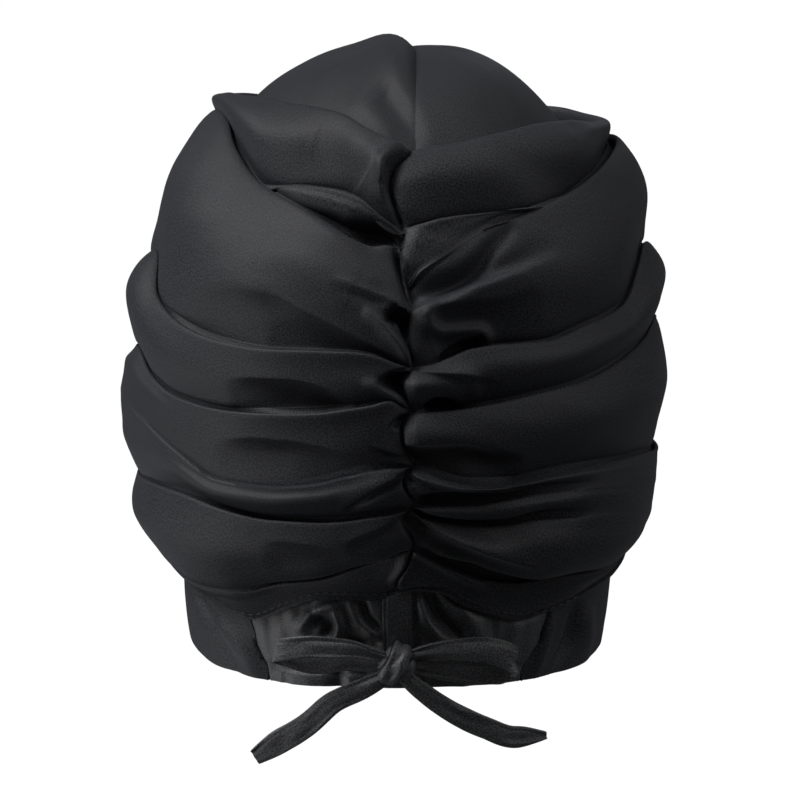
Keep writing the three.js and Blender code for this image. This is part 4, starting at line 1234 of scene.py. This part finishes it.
class SwimCapLooks(bpy.types.PropertyGroup):
    wrap_colour: colour_setting(
        "Wrap colour", "Colour of the cap panels and the wrap", (0.0165, 0.0172, 0.0205),
    )
    # the nape panel's satin is paler than the wrap's: partly its own tone, partly painted light that stands
    # in for light from below
    nape_colour_with_painted_light: colour_setting(
        "Nape colour", "Colour of the nape panel and its strip", (0.04, 0.0412, 0.0455),
    )
    # the tie's satin is paler than the wrap's: partly its own tone, partly painted light that stands in for
    # light from below
    tie_colour_with_painted_light: colour_setting("Tie colour", "Colour of the bow and its tails", (0.048, 0.049, 0.053))
    thread_colour: colour_setting("Thread colour", "Colour of the stitches", (0.017, 0.0177, 0.02))
    cloth_thickness: size_setting(
        "Cloth thickness", "Thickness of the wrap's cloth", 0.0007, 0.0003, 0.0015,
    )
    panel_thickness: size_setting(
        "Panel thickness", "Thickness of the cap and nape panels", 0.0008, 0.0003, 0.0015,
    )
    tie_width: size_setting("Tie width", "Width of the flat tie", 0.0085, 0.004, 0.012)
    stitch_length: size_setting(
        "Stitch length", "Length of one stitch along the wrap's lower edge", 0.0024, 0.001, 0.005,
    )
    light: FloatProperty(
        name="Light", description="Strength of the main soft light", default=3.1, min=0,
    )


class SWIMCAP_OT_stage(bpy.types.Operator):
    """Set up the pale floor, the soft lights and the camera"""

    bl_idname = "swimcap.stage"
    bl_label = "Stage"

    def execute(self, context):
        scene = context.scene
        camera = bpy.data.objects.new("camera", bpy.data.cameras.new("camera"))
        scene.collection.objects.link(camera)
        away = Vector((0, -math.cos(CAMERA_ELEVATION), math.sin(CAMERA_ELEVATION)))
        camera.location = CAMERA_TARGET + away * CAMERA_DISTANCE
        camera.rotation_euler = (-away).to_track_quat("-Z", "Y").to_euler()
        frame_width = PICTURE_PIXELS * PIXEL_SIZE * MM
        camera.data.lens = camera.data.sensor_width * CAMERA_DISTANCE / frame_width
        scene.camera = camera

        rim = full_turn(FLOOR_SIDES)
        points = [(FLOOR_RIM * math.cos(a), FLOOR_RIM * math.sin(a), FLOOR_HEIGHT) for a in rim]
        mesh = bpy.data.meshes.new("floor")
        mesh.from_pydata(points, [], [list(range(len(points)))])
        floor = bpy.data.objects.new("floor", mesh)
        scene.collection.objects.link(floor)
        paper = Finish("pale_paper")
        grain = paper.number("ShaderNodeTexNoise", "Fac", Scale=90.0, Detail=2.0)
        paper.set(Base_Color=(0.93, 0.93, 0.93, 1), Roughness=0.86 + grain * 0.08)
        mesh.materials.append(paper.material)
        # the floor neither shades nor lights the cap: one soft light comes from below it instead
        floor.visible_diffuse = floor.visible_glossy = floor.visible_shadow = False

        world = bpy.data.worlds.new("studio")
        world.use_nodes = True
        background = world.node_tree.nodes["Background"]
        background.inputs["Color"].default_value = (0.97, 0.985, 1, 1)
        background.inputs["Strength"].default_value = WORLD_STRENGTH
        scene.world = world
        scene.view_settings.view_transform = "Standard"
        for name, place, softness, share in LAMPS:
            light = bpy.data.lights.new(name, "SUN")
            light.angle = math.radians(softness)
            light.energy = scene.swim_cap_looks.light * share
            lamp = bpy.data.objects.new(name, light)
            lamp.location = place
            lamp.rotation_euler = (-Vector(place)).to_track_quat("-Z", "Y").to_euler()
            scene.collection.objects.link(lamp)
        return {"FINISHED"}


class SWIMCAP_OT_tie(bpy.types.Operator):
    """Make the flat tie: its two free tails, the loops of the bow and the knot"""

    bl_idname = "swimcap.tie"
    bl_label = "Tie"

    def execute(self, context):
        material = finish_of(context, "tie_satin")
        tie_width = context.scene.swim_cap_looks.tie_width / MM
        for seed, (name, stations) in enumerate(TAILS, start=61):
            piece = ribbon_piece(name + "_tape", stations, seed, tie_width)
            dress(piece, material, "tie_satin", name)
            path, _ = ribbon_path(stations, TAPE_ROWS)
            tuple(path[0] * MM)
            tie_width * MM
            (path[::4] * MM).tolist()
        for seed, (name, stations) in enumerate(LOOPS, start=71):
            piece = ribbon_piece(name + "_tape", stations, seed, tie_width)
            dress(piece, material, "tie_satin", name)
        dress(knot_piece("bow_knot_tape"), material, "tie_satin", "bow_knot")
        return {"FINISHED"}


class SWIMCAP_OT_wrap(bpy.types.Operator):
    """Make the two pleated halves of the wrap"""

    bl_idname = "swimcap.wrap"
    bl_label = "Wrap"

    def execute(self, context):
        cloth = finish_of(context, "stretch_satin")
        wall = context.scene.swim_cap_looks.cloth_thickness / MM
        for name, folds, strokes, creases, side in (
            ("wrap_left", LEFT_FOLDS, LEFT_STROKES, LEFT_CREASES, LEFT),
            ("wrap_right", RIGHT_FOLDS, RIGHT_STROKES, RIGHT_CREASES, RIGHT),
        ):
            piece = wrap_piece(name + "_cloth", folds, strokes, creases, side, wall)
            dress(piece, cloth, "stretch_satin", name)
        return {"FINISHED"}


class SWIMCAP_OT_cap(bpy.types.Operator):
    """Make the two cap panels that meet in the crown's seam"""

    bl_idname = "swimcap.cap"
    bl_label = "Cap panels"

    def execute(self, context):
        cloth = finish_of(context, "stretch_satin")
        wall = context.scene.swim_cap_looks.panel_thickness / MM
        for name, side in (("cap_panel_left", LEFT), ("cap_panel_right", RIGHT)):
            piece = dress(cap_piece(name + "_cloth", side, wall), cloth, "stretch_satin", name)
        return {"FINISHED"}


class SWIMCAP_OT_nape(bpy.types.Operator):
    """Make the gathered nape panel, its centre strip and the stitching"""

    bl_idname = "swimcap.nape"
    bl_label = "Nape"

    def execute(self, context):
        cloth = finish_of(context, "nape_satin")
        looks = context.scene.swim_cap_looks
        panel = nape_piece("nape_panel_cloth", looks.panel_thickness / MM)
        dress(panel, cloth, "nape_satin", "nape_panel")
        strip = strip_piece("nape_strip_cloth")
        dress(strip, cloth, "nape_satin", "nape_strip")
        sewn = finish_of(context, "sewing_thread")
        for name, side in (("left", LEFT), ("right", RIGHT)):
            cloth_edge = laid_on(bpy.data.objects["wrap_" + name + "_cloth"], wrap_edge_path(side))
            row = stitches("stitches_" + name, *cloth_edge, looks.stitch_length / MM)
            dress(row, sewn, "nape_satin")
        return {"FINISHED"}


OPERATORS = (SWIMCAP_OT_stage, SWIMCAP_OT_tie, SWIMCAP_OT_wrap, SWIMCAP_OT_cap, SWIMCAP_OT_nape)


class SWIMCAP_PT_panel(bpy.types.Panel):
    bl_label = "Swim cap"
    bl_idname = "SWIMCAP_PT_panel"
    bl_space_type = "VIEW_3D"
    bl_region_type = "UI"
    bl_category = "Swim cap"

    def draw(self, context):
        looks = context.scene.swim_cap_looks
        for name in SwimCapLooks.__annotations__:
            self.layout.prop(looks, name)
        for operator in OPERATORS:
            self.layout.operator(operator.bl_idname)


CLASSES = (SwimCapLooks, *OPERATORS, SWIMCAP_PT_panel)


def register():
    for cls in CLASSES:
        bpy.utils.register_class(cls)
    bpy.types.Scene.swim_cap_looks = PointerProperty(type=SwimCapLooks)


def unregister():
    del bpy.types.Scene.swim_cap_looks
    for cls in reversed(CLASSES):
        bpy.utils.unregister_class(cls)


def main():
    register()
    for operator in OPERATORS:
        group, name = operator.bl_idname.split(".")
        getattr(getattr(bpy.ops, group), name)()


if __name__ == "__main__":
    main()
